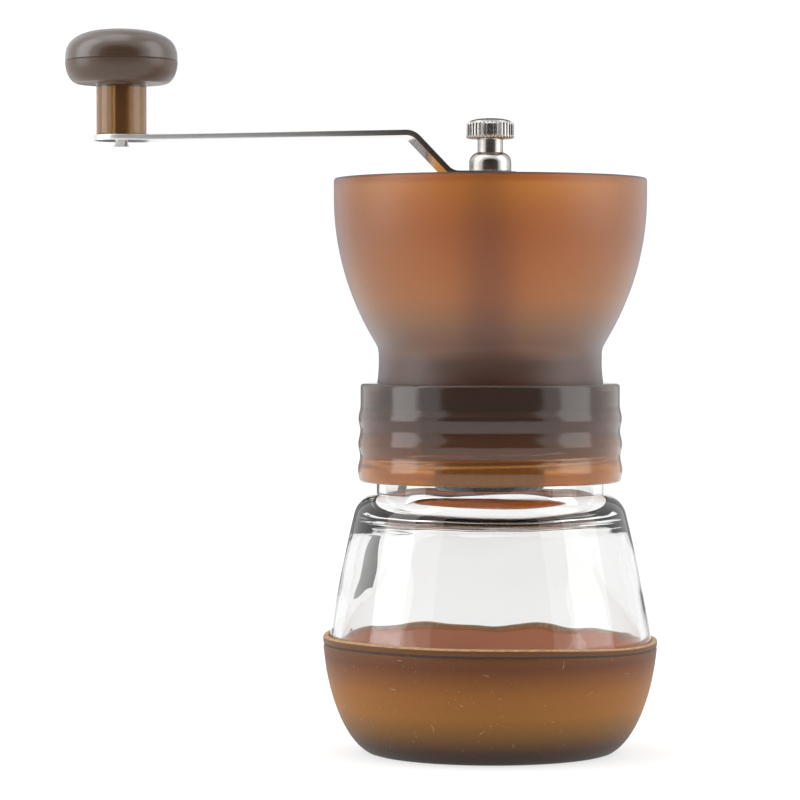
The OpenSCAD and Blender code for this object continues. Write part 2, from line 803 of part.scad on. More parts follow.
// Flanged bush, its flange down at z = 0
module bush() {
    difference() {
        union() {
            cylinder(r = flange_r, h = flange_t);
            cylinder(r = tube_bore_r - press_gap, h = flange_t + bush_l);
        }
        translate([0, 0, -over])
            cylinder(r = shaft_r + run_gap, h = flange_t + bush_l + 2 * over);
    }
}

module upper_bush() {
    color("ivory") translate([0, 0, thrust_z]) mirror([0, 0, 1]) bush();
}

module lower_bush() {
    color("ivory") translate([0, 0, hub_z - flange_t]) bush();
}

module thrust_washer() {
    color("silver") ring(washer_r, shaft_r + washer_gap, thrust_z, washer_t);
}

// Outer burr: a ceramic ring with a keyed outside and a toothed hole
function outer_crest(h) =
    h < grind_h
        ? grind_r - grind_slope * h
        : grind_r - grind_slope * grind_h + mouth_open * (h - grind_h) / (burr_h - grind_h);

module outer_burr() {
    rings = concat(
        [[burr_bottom_z - over, outer_crest(0), fine_depth, 0]],
        [
            for (h = steps(0, grind_h, 3))
                [burr_bottom_z + h, outer_crest(h), fine_depth, 0]
        ],
        [
            for (h = steps(grind_h + 1.5, burr_h, 3))
                [burr_bottom_z + h, outer_crest(h) - fine_depth, 0, fine_depth * 2]
        ],
        [[socket_z + over, outer_crest(burr_h) - fine_depth, 0, fine_depth * 2]]
    );
    color("snow")
        difference() {
            translate([0, 0, burr_bottom_z]) cylinder(r = burr_r, h = burr_h);
            toothed(rings, 1);
            for (a = key_angles)
                rotate([0, 0, a])
                    translate([socket_r + key_r / 2, 0, burr_bottom_z - over])
                        cylinder(r = key_r + key_gap, h = burr_h + 2 * over);
        }
}

// Retainer ring under the outer burr, with a hole for each screw
module burr_retainer() {
    color("dimgray")
        difference() {
            ring(
                screw_ring_r + boss_r, grind_r + grind_slope * burr_overhang - grind_gap + exit_gap,
                burr_bottom_z - retainer_t, retainer_t
            );
            for (a = screw_angles)
                rotate([0, 0, a])
                    translate([screw_ring_r, 0, burr_bottom_z - retainer_t - over])
                        cylinder(r = screw_r + washer_gap, h = retainer_t + 2 * over);
        }
}

// Pan head screws with a cross recess, driven up from below
module retainer_screws() {
    head_top_z = burr_bottom_z - retainer_t;
    color("silver")
        for (a = screw_angles)
            rotate([0, 0, a])
                translate([screw_ring_r, 0, head_top_z])
                    difference() {
                        union() {
                            cylinder(r = screw_r, h = screw_l);
                            translate([0, 0, -screw_head_h])
                                cylinder(r1 = screw_head_r * 0.75, r2 = screw_head_r, h = screw_head_h);
                        }
                        for (turn = [0, 90])
                            rotate([0, 0, turn])
                                translate([-screw_head_r * 0.6, -0.35, -screw_head_h - over])
                                    cube([screw_head_r * 1.2, 0.7, screw_head_h * 0.6 + over]);
                    }
}

// Shaft: thread and flats below, head and flatted spigot under the arm, stud on top
module shaft() {
    color("silver") {
        difference() {
            translate([0, 0, flats_z]) cylinder(r = shaft_r, h = head_z - flats_z + over / 2);
            for (side = [-1, 1])
                translate([side * (flats_w / 2 + shaft_r) - shaft_r, -shaft_r - over, flats_z - over])
                    cube([2 * shaft_r, 2 * (shaft_r + over), flats_l + over]);
        }
        translate([0, 0, head_z]) cylinder(r = head_r, h = foot_z - head_z);
        translate([0, 0, foot_z - over]) flatted(spigot_r, spigot_w, arm_t - 0.2 + over);
        translate([0, 0, foot_z]) cylinder(r = stud_core_r, h = arm_t + stud_l);
        translate([0, 0, foot_top_z])
            helix_ridge(
                stud_core_r - small_sunk, stud_r, stud_pitch * 0.75, stud_pitch * 0.3,
                stud_pitch, (stud_l - 1) / stud_pitch, small_segs
            );
        translate([0, 0, shaft_end_z]) cylinder(r = adjust_core_r, h = adjust_l + over);
        translate([0, 0, shaft_end_z + 0.6])
            helix_ridge(
                adjust_core_r - small_sunk, adjust_r, adjust_pitch * 0.75, adjust_pitch * 0.3,
                adjust_pitch, (adjust_l - 1) / adjust_pitch, small_segs
            );
    }
}

// Crank arm: a bent strip, seen from the side and then cut to its rounded outline
module arm_side() {
    low = [-90, -90 + arm_angle];
    high = [90 + arm_angle, 90 - arm_droop];
    polygon(concat(
        [[-arm_w, foot_z]],
        arc(low_bend, bend_r + arm_t, low[0], low[1]),
        arc(high_bend, bend_r, high[0], high[1]),
        [[pad_u, seat_z - arm_t], [reach + arm_w, seat_z - arm_t]],
        [[reach + arm_w, seat_z], [pad_u, seat_z]],
        arc(high_bend, outer_bend_r, high[1], high[0]),
        arc(low_bend, bend_r, low[1], low[0]),
        [[-arm_w, foot_top_z]]
    ));
}

module crank_arm() {
    color("lightsteelblue")
        difference() {
            intersection() {
                translate([0, arm_w, 0])
                    rotate([90, 0, 0])
                        linear_extrude(2 * arm_w)
                            mirror([1, 0, 0]) arm_side();
                translate([0, 0, foot_z - over])
                    linear_extrude(arm_rise + arm_t + 2 * over)
                        union() {
                            circle(r = arm_w / 2);
                            translate([-reach, 0]) circle(r = arm_w / 2);
                            translate([-reach, -arm_w / 2]) square([reach, arm_w]);
                        }
            }
            translate([0, 0, foot_z - over])
                flatted(spigot_r + flat_gap, spigot_w + 2 * flat_gap, arm_t + 2 * over);
            translate([-reach, 0, seat_z - arm_t - over])
                cylinder(r = pin_neck_r + press_gap, h = arm_t + 2 * over);
        }
}

// Thumb nut: a knurled head on a narrow neck and a bell, screwed down on the arm
function knurl_outline() =
    [
        for (i = [0:4 * knurl_count - 1])
            let (a = 90 * i / knurl_count, r = i % 4 < 2 ? nut_r : nut_r - knurl_depth)
            r * [cos(a), sin(a)]
    ];

module thumb_nut() {
    band_top = nut_neck_z + nut_band_h;
    hole_l = stud_l + 0.7;
    hole_r = stud_r + ridge_gap;
    color("gainsboro")
        translate([0, 0, foot_top_z])
            difference() {
                union() {
                    rotate_extrude()
                        polygon(concat(
                            [[0, 0], [bell_r, 0]],
                            arc(
                                [bell_r - bell_round, bell_side_h], bell_round,
                                0, acos((nut_neck_r - bell_r + bell_round) / bell_round)
                            ),
                            [[nut_neck_r, nut_neck_z + over / 2], [0, nut_neck_z + over / 2]]
                        ));
                    intersection() {
                        translate([0, 0, nut_neck_z])
                            linear_extrude(nut_band_h + nut_dome_h) polygon(knurl_outline());
                        rotate_extrude()
                            polygon(concat(
                                [[0, nut_neck_z], [nut_r - 0.5, nut_neck_z], [nut_r, nut_neck_z + 0.5]],
                                [[nut_r, band_top - 0.5], [nut_r - 0.5, band_top]],
                                quarter([0, band_top], nut_r - 0.9, nut_dome_h, 2, 8)
                            ));
                    }
                }
                translate([0, 0, -over]) cylinder(r = hole_r, h = hole_l + over);
            }
    color("gainsboro")
        translate([0, 0, foot_top_z + stud_pitch / 2 + 0.8])
            helix_ridge(
                hole_r + small_sunk, stud_core_r + ridge_gap, stud_pitch * 0.75, stud_pitch * 0.3,
                stud_pitch, 10, small_segs
            );
}

module spring_washer() {
    color("silver") ring(washer_r, shaft_r + washer_gap, spring_top_z, washer_t);
}

module burr_spring() {
    color("silver")
        translate([0, 0, driver_top_z])
            coil(spring_r, wire_d, spring_top_z - driver_top_z, spring_turns);
}

// Inner burr: a toothed cone with coarse blades above and fine teeth below
module inner_burr() {
    foot_r = grind_r - grind_gap;
    knee_z = burr_bottom_z + grind_h;
    knee_r = foot_r - grind_slope * grind_h;
    rings = concat(
        [
            for (z = steps(cone_bottom_z, knee_z, 3))
                [z, foot_r - grind_slope * (z - burr_bottom_z), fine_depth, 0]
        ],
        [
            for (u = steps(0.15, 1, 5))
                [
                    knee_z + (cone_top_z - knee_z) * u,
                    knee_r + (cone_top_r - knee_r) * u,
                    fine_depth * (1 - u) * 0.5,
                    blade_depth * min(1, 4 * u) * min(1, 2.2 * (1 - u))
                ]
        ]
    );
    slot_r = driver_r + driver_gap;
    color("snow")
        difference() {
            toothed(rings, -1);
            translate([0, 0, cone_bottom_z - over])
                cylinder(r = driver_hub_r + press_gap, h = cone_top_z - cone_bottom_z + 2 * over);
            translate([0, 0, cone_bottom_z - over]) cylinder(r = slot_r, h = driver_t + over);
            for (i = [0:lug_count - 1])
                rotate([0, 0, 360 / lug_count * i])
                    translate([0, -lug_w / 2 - driver_gap, cone_bottom_z - over])
                        cube([slot_r + lug_out, lug_w + 2 * driver_gap, driver_t + over]);
        }
}

// Driver: a lugged disc and hub in the inner burr, sliding on the shaft's flats
module burr_driver() {
    color("darkslategray")
        translate([0, 0, cone_bottom_z])
            difference() {
                union() {
                    cylinder(r = driver_r, h = driver_t);
                    cylinder(r = driver_hub_r, h = driver_t + driver_hub_h);
                    for (i = [0:lug_count - 1])
                        rotate([0, 0, 360 / lug_count * i])
                            translate([0, -lug_w / 2, 0])
                                cube([driver_r + lug_out, lug_w, driver_t]);
                }
                translate([0, 0, -over])
                    flatted(
                        shaft_r + run_gap, flats_w + 2 * flat_gap,
                        driver_t + driver_hub_h + 2 * over
                    );
            }
}

// Adjusting dial and its threaded insert, under the driver
module adjusting_dial() {
    color("darkslategray")
        translate([0, 0, cone_bottom_z - dial_h])
            difference() {
                union() {
                    cylinder(r1 = dial_r - 1, r2 = dial_r, h = 1);
                    translate([0, 0, 1]) cylinder(r = dial_r, h = dial_h - 1);
                }
                for (i = [0:scallop_count - 1])
                    rotate([0, 0, 360 / scallop_count * i])
                        translate([dial_r + scallop_r * 0.45, 0, -over])
                            cylinder(r = scallop_r, h = dial_h + 2 * over);
                translate([0, 0, dial_h - insert_h])
                    cylinder(r = insert_r + press_gap, h = insert_h + over);
                translate([0, 0, -over]) cylinder(r = adjust_r + 0.6, h = dial_h + 2 * over);
            }
}

module threaded_insert() {
    hole_r = adjust_r + ridge_gap;
    phase = (cone_bottom_z - insert_h - shaft_end_z - 0.6) / adjust_pitch;
    first = shaft_end_z + 0.6 + adjust_pitch * (ceil(phase) + 0.5);
    color("goldenrod") ring(insert_r, hole_r, cone_bottom_z - insert_h, insert_h);
    color("goldenrod")
        translate([0, 0, first])
            helix_ridge(
                hole_r + small_sunk, adjust_core_r + ridge_gap, adjust_pitch * 0.75,
                adjust_pitch * 0.3, adjust_pitch, floor(insert_h / adjust_pitch) - 2, small_segs
            );
}

// Everything on the knob's axis is drawn from the arm's seat up
module at_seat() {
    translate([-reach, 0, seat_z]) children();
}

// Shouldered pin, riveted through the arm, with a head inside the knob
module knob_pin() {
    color("silver")
        at_seat() {
            cylinder(r = pin_r, h = pin_seat_h);
            translate([0, 0, pin_seat_h]) cylinder(r = pin_head_r, h = pin_head_h);
            translate([0, 0, -arm_t - rivet_h]) cylinder(r = pin_neck_r, h = arm_t + rivet_h + over);
            translate([0, 0, -arm_t - rivet_h])
                cylinder(r1 = rivet_r, r2 = pin_neck_r, h = rivet_h * 0.5);
        }
}

module knob_washer() {
    color("silver") at_seat() ring(knob_washer_r, pin_r + washer_gap, pan_floor_h, washer_t);
}

// Knob body: the translucent stem and the lower shell of the head
module knob_body() {
    color([0.5, 0.38, 0.28])
        at_seat()
            difference() {
                rotate_extrude()
                    polygon(concat(
                        [[0, 0], [stem_r, 0], [stem_r, stem_h], [knob_flat_r, stem_h]],
                        [
                            for (p = quarter([0, 0], pan_h - seam_bevel, knob_r - knob_flat_r))
                                [knob_flat_r + p[1], seam_h - seam_bevel - p[0]]
                        ],
                        [[knob_r - seam_bevel, seam_h], [0, seam_h]]
                    ));
                rotate_extrude()
                    polygon(concat(
                        [[0, pan_floor_h], [knob_flat_r, pan_floor_h]],
                        [
                            for (p = quarter([0, 0], pan_h - knob_wall, knob_r - knob_wall - knob_flat_r))
                                [knob_flat_r + p[1], seam_h - p[0]]
                        ],
                        [[knob_r - knob_wall, seam_h + over], [0, seam_h + over]]
                    ));
                translate([0, 0, -over]) cylinder(r = pin_r + run_gap, h = seam_h);
            }
}

// Knob cap: the domed upper shell with a locating lip
module knob_cap() {
    color([0.42, 0.33, 0.27])
        at_seat() {
            difference() {
                rotate_extrude()
                    polygon(concat(
                        [[0, seam_h], [knob_r - seam_bevel, seam_h]],
                        quarter([0, seam_h + seam_bevel], knob_r, cap_h - seam_bevel, cap_power, 16)
                    ));
                rotate_extrude()
                    polygon(concat(
                        [[0, seam_h - over], [knob_r - knob_wall, seam_h - over]],
                        quarter([0, seam_h], knob_r - knob_wall, cap_h - knob_wall, cap_power, 16)
                    ));
            }
            ring(lip_r, lip_r - 1.2, seam_h - lip_depth, lip_depth);
            ring(knob_r - knob_wall + 0.3, lip_r - 1.2, seam_h, 1.2);
        }
}

base_cover();
glass_jar();
jar_seal();
hopper();
screw_collar();
burr_holder();
centre_tube();
upper_bush();
lower_bush();
thrust_washer();
outer_burr();
burr_retainer();
retainer_screws();
shaft();
crank_arm();
thumb_nut();
spring_washer();
burr_spring();
inner_burr();
burr_driver();
adjusting_dial();
threaded_insert();
knob_pin();
knob_washer();
knob_body();
knob_cap();
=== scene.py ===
"""Hand crank coffee grinder with a screw-on glass jar: the visible surfaces and the studio."""
import math
import random

import bmesh
import bpy
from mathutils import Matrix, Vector, noise


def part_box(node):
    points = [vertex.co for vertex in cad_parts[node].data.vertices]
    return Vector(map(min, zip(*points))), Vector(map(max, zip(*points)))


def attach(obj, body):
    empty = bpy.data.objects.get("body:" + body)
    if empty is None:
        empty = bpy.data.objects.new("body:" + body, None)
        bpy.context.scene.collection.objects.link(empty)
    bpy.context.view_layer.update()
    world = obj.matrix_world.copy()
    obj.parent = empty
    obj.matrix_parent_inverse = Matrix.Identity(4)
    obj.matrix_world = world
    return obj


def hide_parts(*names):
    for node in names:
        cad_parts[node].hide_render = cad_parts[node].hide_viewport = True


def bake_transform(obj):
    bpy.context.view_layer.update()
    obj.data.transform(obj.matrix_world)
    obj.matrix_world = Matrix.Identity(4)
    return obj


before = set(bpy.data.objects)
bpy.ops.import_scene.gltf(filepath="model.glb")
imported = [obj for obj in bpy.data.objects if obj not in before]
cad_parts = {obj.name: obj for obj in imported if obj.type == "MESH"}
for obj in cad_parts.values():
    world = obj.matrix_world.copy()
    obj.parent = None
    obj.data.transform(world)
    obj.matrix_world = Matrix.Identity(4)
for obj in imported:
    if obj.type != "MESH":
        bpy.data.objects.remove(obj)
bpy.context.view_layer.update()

# ---- Studio ----
# A long lens a metre away, a little above the middle of the grinder, a white paper floor,
# a tall soft box on each side, a broad one overhead and black screens round the camera. Grey
# wings and a header stand behind, out of sight, and give shiny edges their dark outline.
CAMERA_TURN = math.radians(7.6)
CAMERA_AWAY = 1.005
CAMERA_LEFT = 0.026
CAMERA_HEIGHT = 0.1216
CAMERA_PITCH = math.radians(1.15)
LENS_MM = 156.8
SENSOR_MM = 36.0
FLOOR_R = 25.0
PAPER_WHITE = (0.36, 0.36, 0.36)
PAPER_GLOW = 0.68
SKY_WHITE = (1.0, 1.0, 1.0)
SKY_STRENGTH = 1.05
LIGHT_TARGET = Vector((0, 0, 0.1))
FLAG_SIDE = (-0.27, -0.17)
FLAG_BACK = 1.0
FLAG_H = 0.6
WING_H = 1.6
HEADER_H = 2.6
HEADER_Z = 0.42

ahead = Vector((math.sin(CAMERA_TURN), math.cos(CAMERA_TURN), 0))
to_right = Vector((math.cos(CAMERA_TURN), -math.sin(CAMERA_TURN), 0))


def add_object(name, data):
    made = bpy.data.objects.new(name, data)
    bpy.context.scene.collection.objects.link(made)
    return made


camera = add_object("camera", bpy.data.cameras.new("camera"))
camera.data.sensor_width = SENSOR_MM
camera.data.lens = LENS_MM
camera.data.clip_end = 60
camera.location = -CAMERA_AWAY * ahead - CAMERA_LEFT * to_right + Vector((0, 0, CAMERA_HEIGHT))
camera.rotation_euler = (math.pi / 2 - CAMERA_PITCH, 0, -CAMERA_TURN)
bpy.context.scene.camera = camera


def finish(name, colour, roughness, **sockets):
    """A Principled finish. Each value that is the same all over sits on the shader's socket."""
    made = bpy.data.materials.new(name)
    made.use_nodes = True
    shader = made.node_tree.nodes["Principled BSDF"]
    shader.inputs["Base Color"].default_value = (*colour, 1)
    shader.inputs["Roughness"].default_value = roughness
    for socket, value in sockets.items():
        shader.inputs[socket.replace("_", " ")].default_value = value
    return made


def disc(name, radius, height, corners=96):
    """A flat round sheet."""
    mesh = bpy.data.meshes.new(name)
    shape = bmesh.new()
    bmesh.ops.create_circle(shape, cap_ends=True, radius=radius, segments=corners)
    bmesh.ops.translate(shape, verts=shape.verts, vec=(0, 0, height))
    shape.to_mesh(mesh)
    shape.free()
    return add_object(name, mesh)


floor = disc("paper_floor", FLOOR_R, -0.00005)
floor.data.materials.append(
    finish(
        "white_paper", PAPER_WHITE, 0.9, Specular_IOR_Level=0.1,
        Emission_Color=(1, 1, 1, 1), Emission_Strength=PAPER_GLOW
    )
)

world = bpy.data.worlds.new("white_room")
world.use_nodes = True
sky = world.node_tree.nodes["Background"]
sky.inputs["Color"].default_value = (*SKY_WHITE, 1)
sky.inputs["Strength"].default_value = SKY_STRENGTH
bpy.context.scene.world = world
bpy.context.scene.view_settings.view_transform = "Standard"


def soft_box(name, side, back, up, width, height, watts):
    """An area light, placed from the camera's point of view and turned to the grinder."""
    light = bpy.data.lights.new(name, "AREA")
    light.shape = "RECTANGLE"
    light.size = width
    light.size_y = height
    light.energy = watts
    made = add_object(name, light)
    made.location = side * to_right + back * ahead + Vector((0, 0, up))
    made.rotation_euler = (LIGHT_TARGET - made.location).to_track_quat("-Z", "Y").to_euler()
    made.visible_camera = False
    return made


soft_box("left_box", -0.85, -0.12, 0.5, 0.5, 1.3, 4.6)
soft_box("right_box", 0.85, -0.16, 0.5, 0.6, 1.3, 4.0)
soft_box("top_box", -0.25, -0.05, 1.3, 0.9, 0.7, 2.5)


def dark_screen(name, radius, away, elevation):
    """A round black cloth in front of the grinder, for its reflections alone."""
    turned = math.radians(elevation)
    made = disc(name, radius, 0)
    made.rotation_euler = (math.pi / 2 + turned, 0, -CAMERA_TURN)
    made.location = -away * math.cos(turned) * ahead + Vector((0, 0, away * math.sin(turned)))
    made.data.materials.append(black_cloth)
    made.visible_camera = False
    made.visible_shadow = False
    return made


black_cloth = finish("black_cloth", (0.02, 0.02, 0.02), 1.0)
for name, radius, away, elevation in (
    ("low_screen", 1.7, 1.7, 12),
    ("high_screen", 1.0, 1.9, 42),
):
    dark_screen(name, radius, away, elevation).visible_transmission = False


def standing_flag(name, sides, back, heights, cloth):
    """An upright panel behind the grinder, which darkens reflections and refractions alone."""
    flag = add_object(name, bpy.data.meshes.new(name))
    flag.data.from_pydata(
        [
            (sides[i] * to_right + back * ahead + Vector((0, 0, z)))
            for i, z in ((0, heights[0]), (1, heights[0]), (1, heights[1]), (0, heights[1]))
        ],
        [],
        [(0, 1, 2, 3)],
    )
    flag.data.materials.append(cloth)
    flag.visible_camera = False
    flag.visible_shadow = False
    flag.visible_diffuse = False
    return flag


standing_flag("left_flag", FLAG_SIDE, FLAG_BACK, (0, FLAG_H), black_cloth)
grey_cloth = finish("grey_cloth", (0.42, 0.42, 0.42), 1.0)
for name, sides, heights in (
    ("left_wing", (-0.55, -0.25), (0, WING_H)),
    ("right_wing", (0.25, 0.55), (0, WING_H)),
    ("back_header", (-0.25, 0.25), (HEADER_Z, HEADER_H)),
):
    wing = standing_flag(name, sides, FLAG_BACK + 0.1, heights, grey_cloth)
    wing.visible_transmission = False

# ---- Glass jar ----
# A pressed soda-lime glass jar with a thick floor, a round shoulder and a straight neck with
# one and a half turns of thread. The plunger leaves its inside slightly wavy.
JAR_FLOOR_Z = 0.002
JAR_INSIDE_Z = 0.009
JAR_CORNER_R = 0.009
JAR_WALL = 0.0032
SHOULDER_R = 0.0318
SHOULDER_Z = 0.067
SHOULDER_ROUND = 0.0076
SHOULDER_INNER_ROUND = 0.0044
SHOULDER_ARC = (13.5, 82.82)
SHOULDER_SINK = 0.0038
INNER_SHOULDER_OUT = 0.00063
INNER_SHOULDER_ARC = (84, 14)
SIDE_FOOT = (0.0465, 0.0326)
SIDE_HEAD = (0.03925, 0.0685)
SIDE_BULGE = 0.00035
SIDE_INSIDE = (0.865, 0.05)
FLOOR_RING_R = 0.026
NECK_R = 0.03275
NECK_FOOT_Z = 0.07454
NECK_CORNER_R = 0.0014
NECK_CORNER_UP = 0.0058
NECK_INSIDE_UP = 0.006
MOUTH_R = 0.0297
LIP_Z = 0.097
LIP_ROUND = 0.001
THREAD_R = 0.03465
THREAD_Z = 0.08295
THREAD_PITCH = 0.0042333
THREAD_TURNS = 1.5
THREAD_ROOT_W = 0.0026
THREAD_CREST_W = 0.0011
THREAD_FADE = 1.05
FOOT_BULGE_Z = 0.032
COVER_H = 0.0333
COVER_R = 0.0482
COVER_LEAN = 0.002
COVER_ROUND = 0.014
COVER_TURN = 0.98
COVER_WALL = 0.0016
COVER_GAP = -0.00005
WAVE_DEPTH = 0.00017
WAVE_SIZE = 0.011
SKIN_DEPTH = 0.00007
SKIN_SIZE = 0.013
SHOULDER_WAVE_DEPTH = 0.0006
SHOULDER_WAVE_SIZE = 0.018
SHOULDER_WAVE_UP = 0.001
SHOULDER_WAVE_REACH = 0.008
WAVE_LIFT = 0.7
SKIN_FADE = 0.006
FLOOR_FADE = 0.004


def foot_out(z):
    """Outside radius of the rubber cover at height z, which the foot of the jar follows."""
    low = max(0.0, 1 - z / FOOT_BULGE_Z)
    return COVER_R - COVER_LEAN * low - COVER_ROUND * (1 - math.sqrt(1 - (low * COVER_TURN) ** 2))


def foot_inset(z, depth):
    """Radius of a wall that lies depth inside the cover's outside."""
    step = 0.00005
    slope = (foot_out(z + step) - foot_out(z - step)) / (2 * step)
    return foot_out(z) - depth * math.sqrt(1 + slope ** 2)


def spread(first, last, count):
    """Evenly spaced values, both ends included."""
    return [first + (last - first) * i / count for i in range(count + 1)]


def arc(centre, radius, first, last, count):
    """Points of an arc, with its angles in degrees."""
    turns = [math.radians(a) for a in spread(first, last, count)]
    return [
        (centre[0] + radius * math.cos(t), centre[1] + radius * math.sin(t)) for t in turns
    ]


def lathe(name, outline, corners=192, bend=None, sharp=32):
    """Turns a closed outline of (radius, height) about the axis. bend(r, turn, z, i) moves points."""
    shape = bmesh.new()
    rings = []
    for i, (r, z) in enumerate(outline):
        if r < 1e-7:
            rings.append([shape.verts.new((0, 0, z))])
            continue
        ring = []
        for k in range(corners):
            turn = 2 * math.pi * k / corners
            at_r, at_z = bend(r, turn, z, i) if bend else (r, z)
            ring.append(shape.verts.new((at_r * math.cos(turn), at_r * math.sin(turn), at_z)))
        rings.append(ring)
    for here, there in zip(rings, rings[1:] + rings[:1]):
        if len(here) == 1 and len(there) == 1:
            continue
        for k in range(corners):
            n = (k + 1) % corners
            if len(here) == 1:
                shape.faces.new((here[0], there[n], there[k]))
            elif len(there) == 1:
                shape.faces.new((here[k], here[n], there[0]))
            else:
                shape.faces.new((here[k], here[n], there[n], there[k]))
    return solid(name, shape, sharp)


def solid(name, shape, sharp=32):
    """A smooth-shaded mesh object from a closed bmesh, with its corners kept sharp."""
    bmesh.ops.recalc_face_normals(shape, faces=shape.faces)
    mesh = bpy.data.meshes.new(name)
    shape.to_mesh(mesh)
    shape.free()
    mesh.polygons.foreach_set("use_smooth", [True] * len(mesh.polygons))
    mesh.set_sharp_from_angle(angle=math.radians(sharp))
    return add_object(name, mesh)


def side_point(u, inset):
    """A point of the jar's side wall, a share u of the way up, inset from its outside."""
    lean = math.atan2(SIDE_FOOT[0] - SIDE_HEAD[0], SIDE_HEAD[1] - SIDE_FOOT[1])
    r = SIDE_FOOT[0] + (SIDE_HEAD[0] - SIDE_FOOT[0]) * u
    z = SIDE_FOOT[1] + (SIDE_HEAD[1] - SIDE_FOOT[1]) * u
    return (r + SIDE_BULGE * 4 * u * (1 - u) - inset / math.cos(lean), z)


def corner_cut(z):
    """What the rounded inside corner takes off the jar's inside radius."""
    reach = JAR_CORNER_R - min(JAR_CORNER_R, z - JAR_INSIDE_Z)
    return JAR_CORNER_R - math.sqrt(JAR_CORNER_R ** 2 - reach ** 2)


glass_inset = COVER_WALL + COVER_GAP
shoulder = (SHOULDER_R, SHOULDER_Z)
inner_shoulder = (SHOULDER_R + INNER_SHOULDER_OUT, SHOULDER_Z - SHOULDER_SINK)
neck_corner = (MOUTH_R + NECK_CORNER_R, inner_shoulder[1] + NECK_CORNER_UP)
jar_outside = (
    [(0, JAR_FLOOR_Z)]
    + [(foot_inset(JAR_FLOOR_Z, glass_inset) * u, JAR_FLOOR_Z) for u in (0.4, 0.8, 0.97)]
    + [(foot_inset(z, glass_inset), z) for z in spread(JAR_FLOOR_Z, FOOT_BULGE_Z, 26)]
    + [side_point(u, 0) for u in spread(0, 1, 26)]
    + arc(shoulder, SHOULDER_ROUND, *SHOULDER_ARC, 14)
    + [(NECK_R, z) for z in spread(NECK_FOOT_Z, LIP_Z - LIP_ROUND, 60)]
    + arc((NECK_R - LIP_ROUND, LIP_Z - LIP_ROUND), LIP_ROUND, 15, 90, 5)
)
jar_inside = (
    arc((MOUTH_R + LIP_ROUND, LIP_Z - LIP_ROUND), LIP_ROUND, 90, 165, 5)
    + [(MOUTH_R, z) for z in spread(LIP_Z - LIP_ROUND, inner_shoulder[1] + NECK_INSIDE_UP, 24)]
    + arc(neck_corner, NECK_CORNER_R, 180, 262, 5)
    + arc(inner_shoulder, SHOULDER_INNER_ROUND, *INNER_SHOULDER_ARC, 9)
    + [side_point(u, JAR_WALL) for u in spread(*SIDE_INSIDE, 24)]
    + [
        (foot_inset(z, glass_inset + JAR_WALL) - corner_cut(z), z)
        for z in spread(FOOT_BULGE_Z, JAR_INSIDE_Z, 26)
    ]
    + [(u * FLOOR_RING_R, JAR_INSIDE_Z) for u in (0.8, 0.5, 0.2, 0)]
)


def thread_height(turn, z):
    """How far the thread's ridge stands out of the neck, with both ends faded."""
    tallest = 0.0
    for lap in range(2):
        along = turn + 2 * math.pi * lap
        left = 2 * math.pi * THREAD_TURNS - along
        if left < 0:
            continue
        middle = THREAD_Z + THREAD_PITCH * along / (2 * math.pi)
        flank = (THREAD_ROOT_W - THREAD_CREST_W) / 2
        rise = min(1.0, max(0.0, (THREAD_ROOT_W / 2 - abs(z - middle)) / flank))
        fade = min(1.0, along / THREAD_FADE, left / THREAD_FADE)
        tallest = max(tallest, (THREAD_R - NECK_R) * fade * rise * rise * (3 - 2 * rise))
    return tallest


def jar_bend(r, turn, z, i):
    """Adds the thread to the neck and the slight waves of pressed glass."""
    at = Vector((r * math.cos(turn), r * math.sin(turn), z))
    if i < len(jar_outside):
        if r == NECK_R:
            return r + thread_height(turn, z), z
        bare = min(1.0, max(0.0, (z - COVER_H) / SKIN_FADE))
        return r + SKIN_DEPTH * bare * noise.noise(at / SKIN_SIZE), z
    calm = min(1.0, max(0.0, (z - JAR_INSIDE_Z) / FLOOR_FADE))
    high = max(0.0, 1 - abs(z - SHOULDER_Z - SHOULDER_WAVE_UP) / SHOULDER_WAVE_REACH)
    wave = WAVE_DEPTH * noise.noise(at / WAVE_SIZE)
    wave += SHOULDER_WAVE_DEPTH * high * noise.noise(at / SHOULDER_WAVE_SIZE)
    return r + calm * wave, z + WAVE_LIFT * high * wave


glass = finish(
    "clear_glass", (0.90, 0.905, 0.90), 0.0, IOR=1.5, Transmission_Weight=1.0
)
jar = lathe("jar", jar_outside + jar_inside, 240, jar_bend, 40)
jar.data.materials.append(glass)
jar.visible_shadow = False
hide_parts("glass_jar")
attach(jar, "jar")

# ---- Rubber base cover ----
# A moulded thermoplastic rubber cup stretched over the foot of the jar. Its rim is a soft bead
# that sits a little unevenly above a crease, and the matt surface holds dust and lint.
COVER_FLOOR = 0.002
RIM_TILT = 0.0008
RIM_WANDER = 0.00025
RIM_LOOSE_Z = 0.022
RIM_OUTER_R = 0.0007
RIM_INNER_R = 0.0004
FOOT_EDGE = 0.0004
BEAD_H = 0.0022
BEAD_GROOVE = 0.00022
COVER_CORNERS = 192
LIP_PAINTED_HIGHLIGHT = 0.0006
BEAD_SHADE_REACH = 0.00035
GRIP_RINGS = (0.030, 0.0255)
GRIP_W = 0.0015
GRIP_DEPTH = 0.0006
GRIP_DRAFT = 0.0001


def rim_shift(turn):
    """How far the rim stands above its mean height at that turn."""
    wander = math.sin(3 * turn + 0.6) + 0.6 * math.sin(5 * turn + 2.1)
    return -RIM_TILT * math.cos(turn) + RIM_WANDER * wander


def cover_bend(r, turn, z, i):
    """Tilts the rim and lets it wander, less and less towards the foot."""
    high = min(1.0, max(0.0, (z - RIM_LOOSE_Z) / (COVER_H - RIM_LOOSE_Z)))
    return r, z + rim_shift(turn) * high * high


def groove(middle):
    """A grip groove in the underside, as outline points from the middle out."""
    inner, outer = middle - GRIP_W, middle
    return [
        (inner, 0), (inner + GRIP_DRAFT, GRIP_DEPTH), (outer - GRIP_DRAFT, GRIP_DEPTH), (outer, 0)
    ]


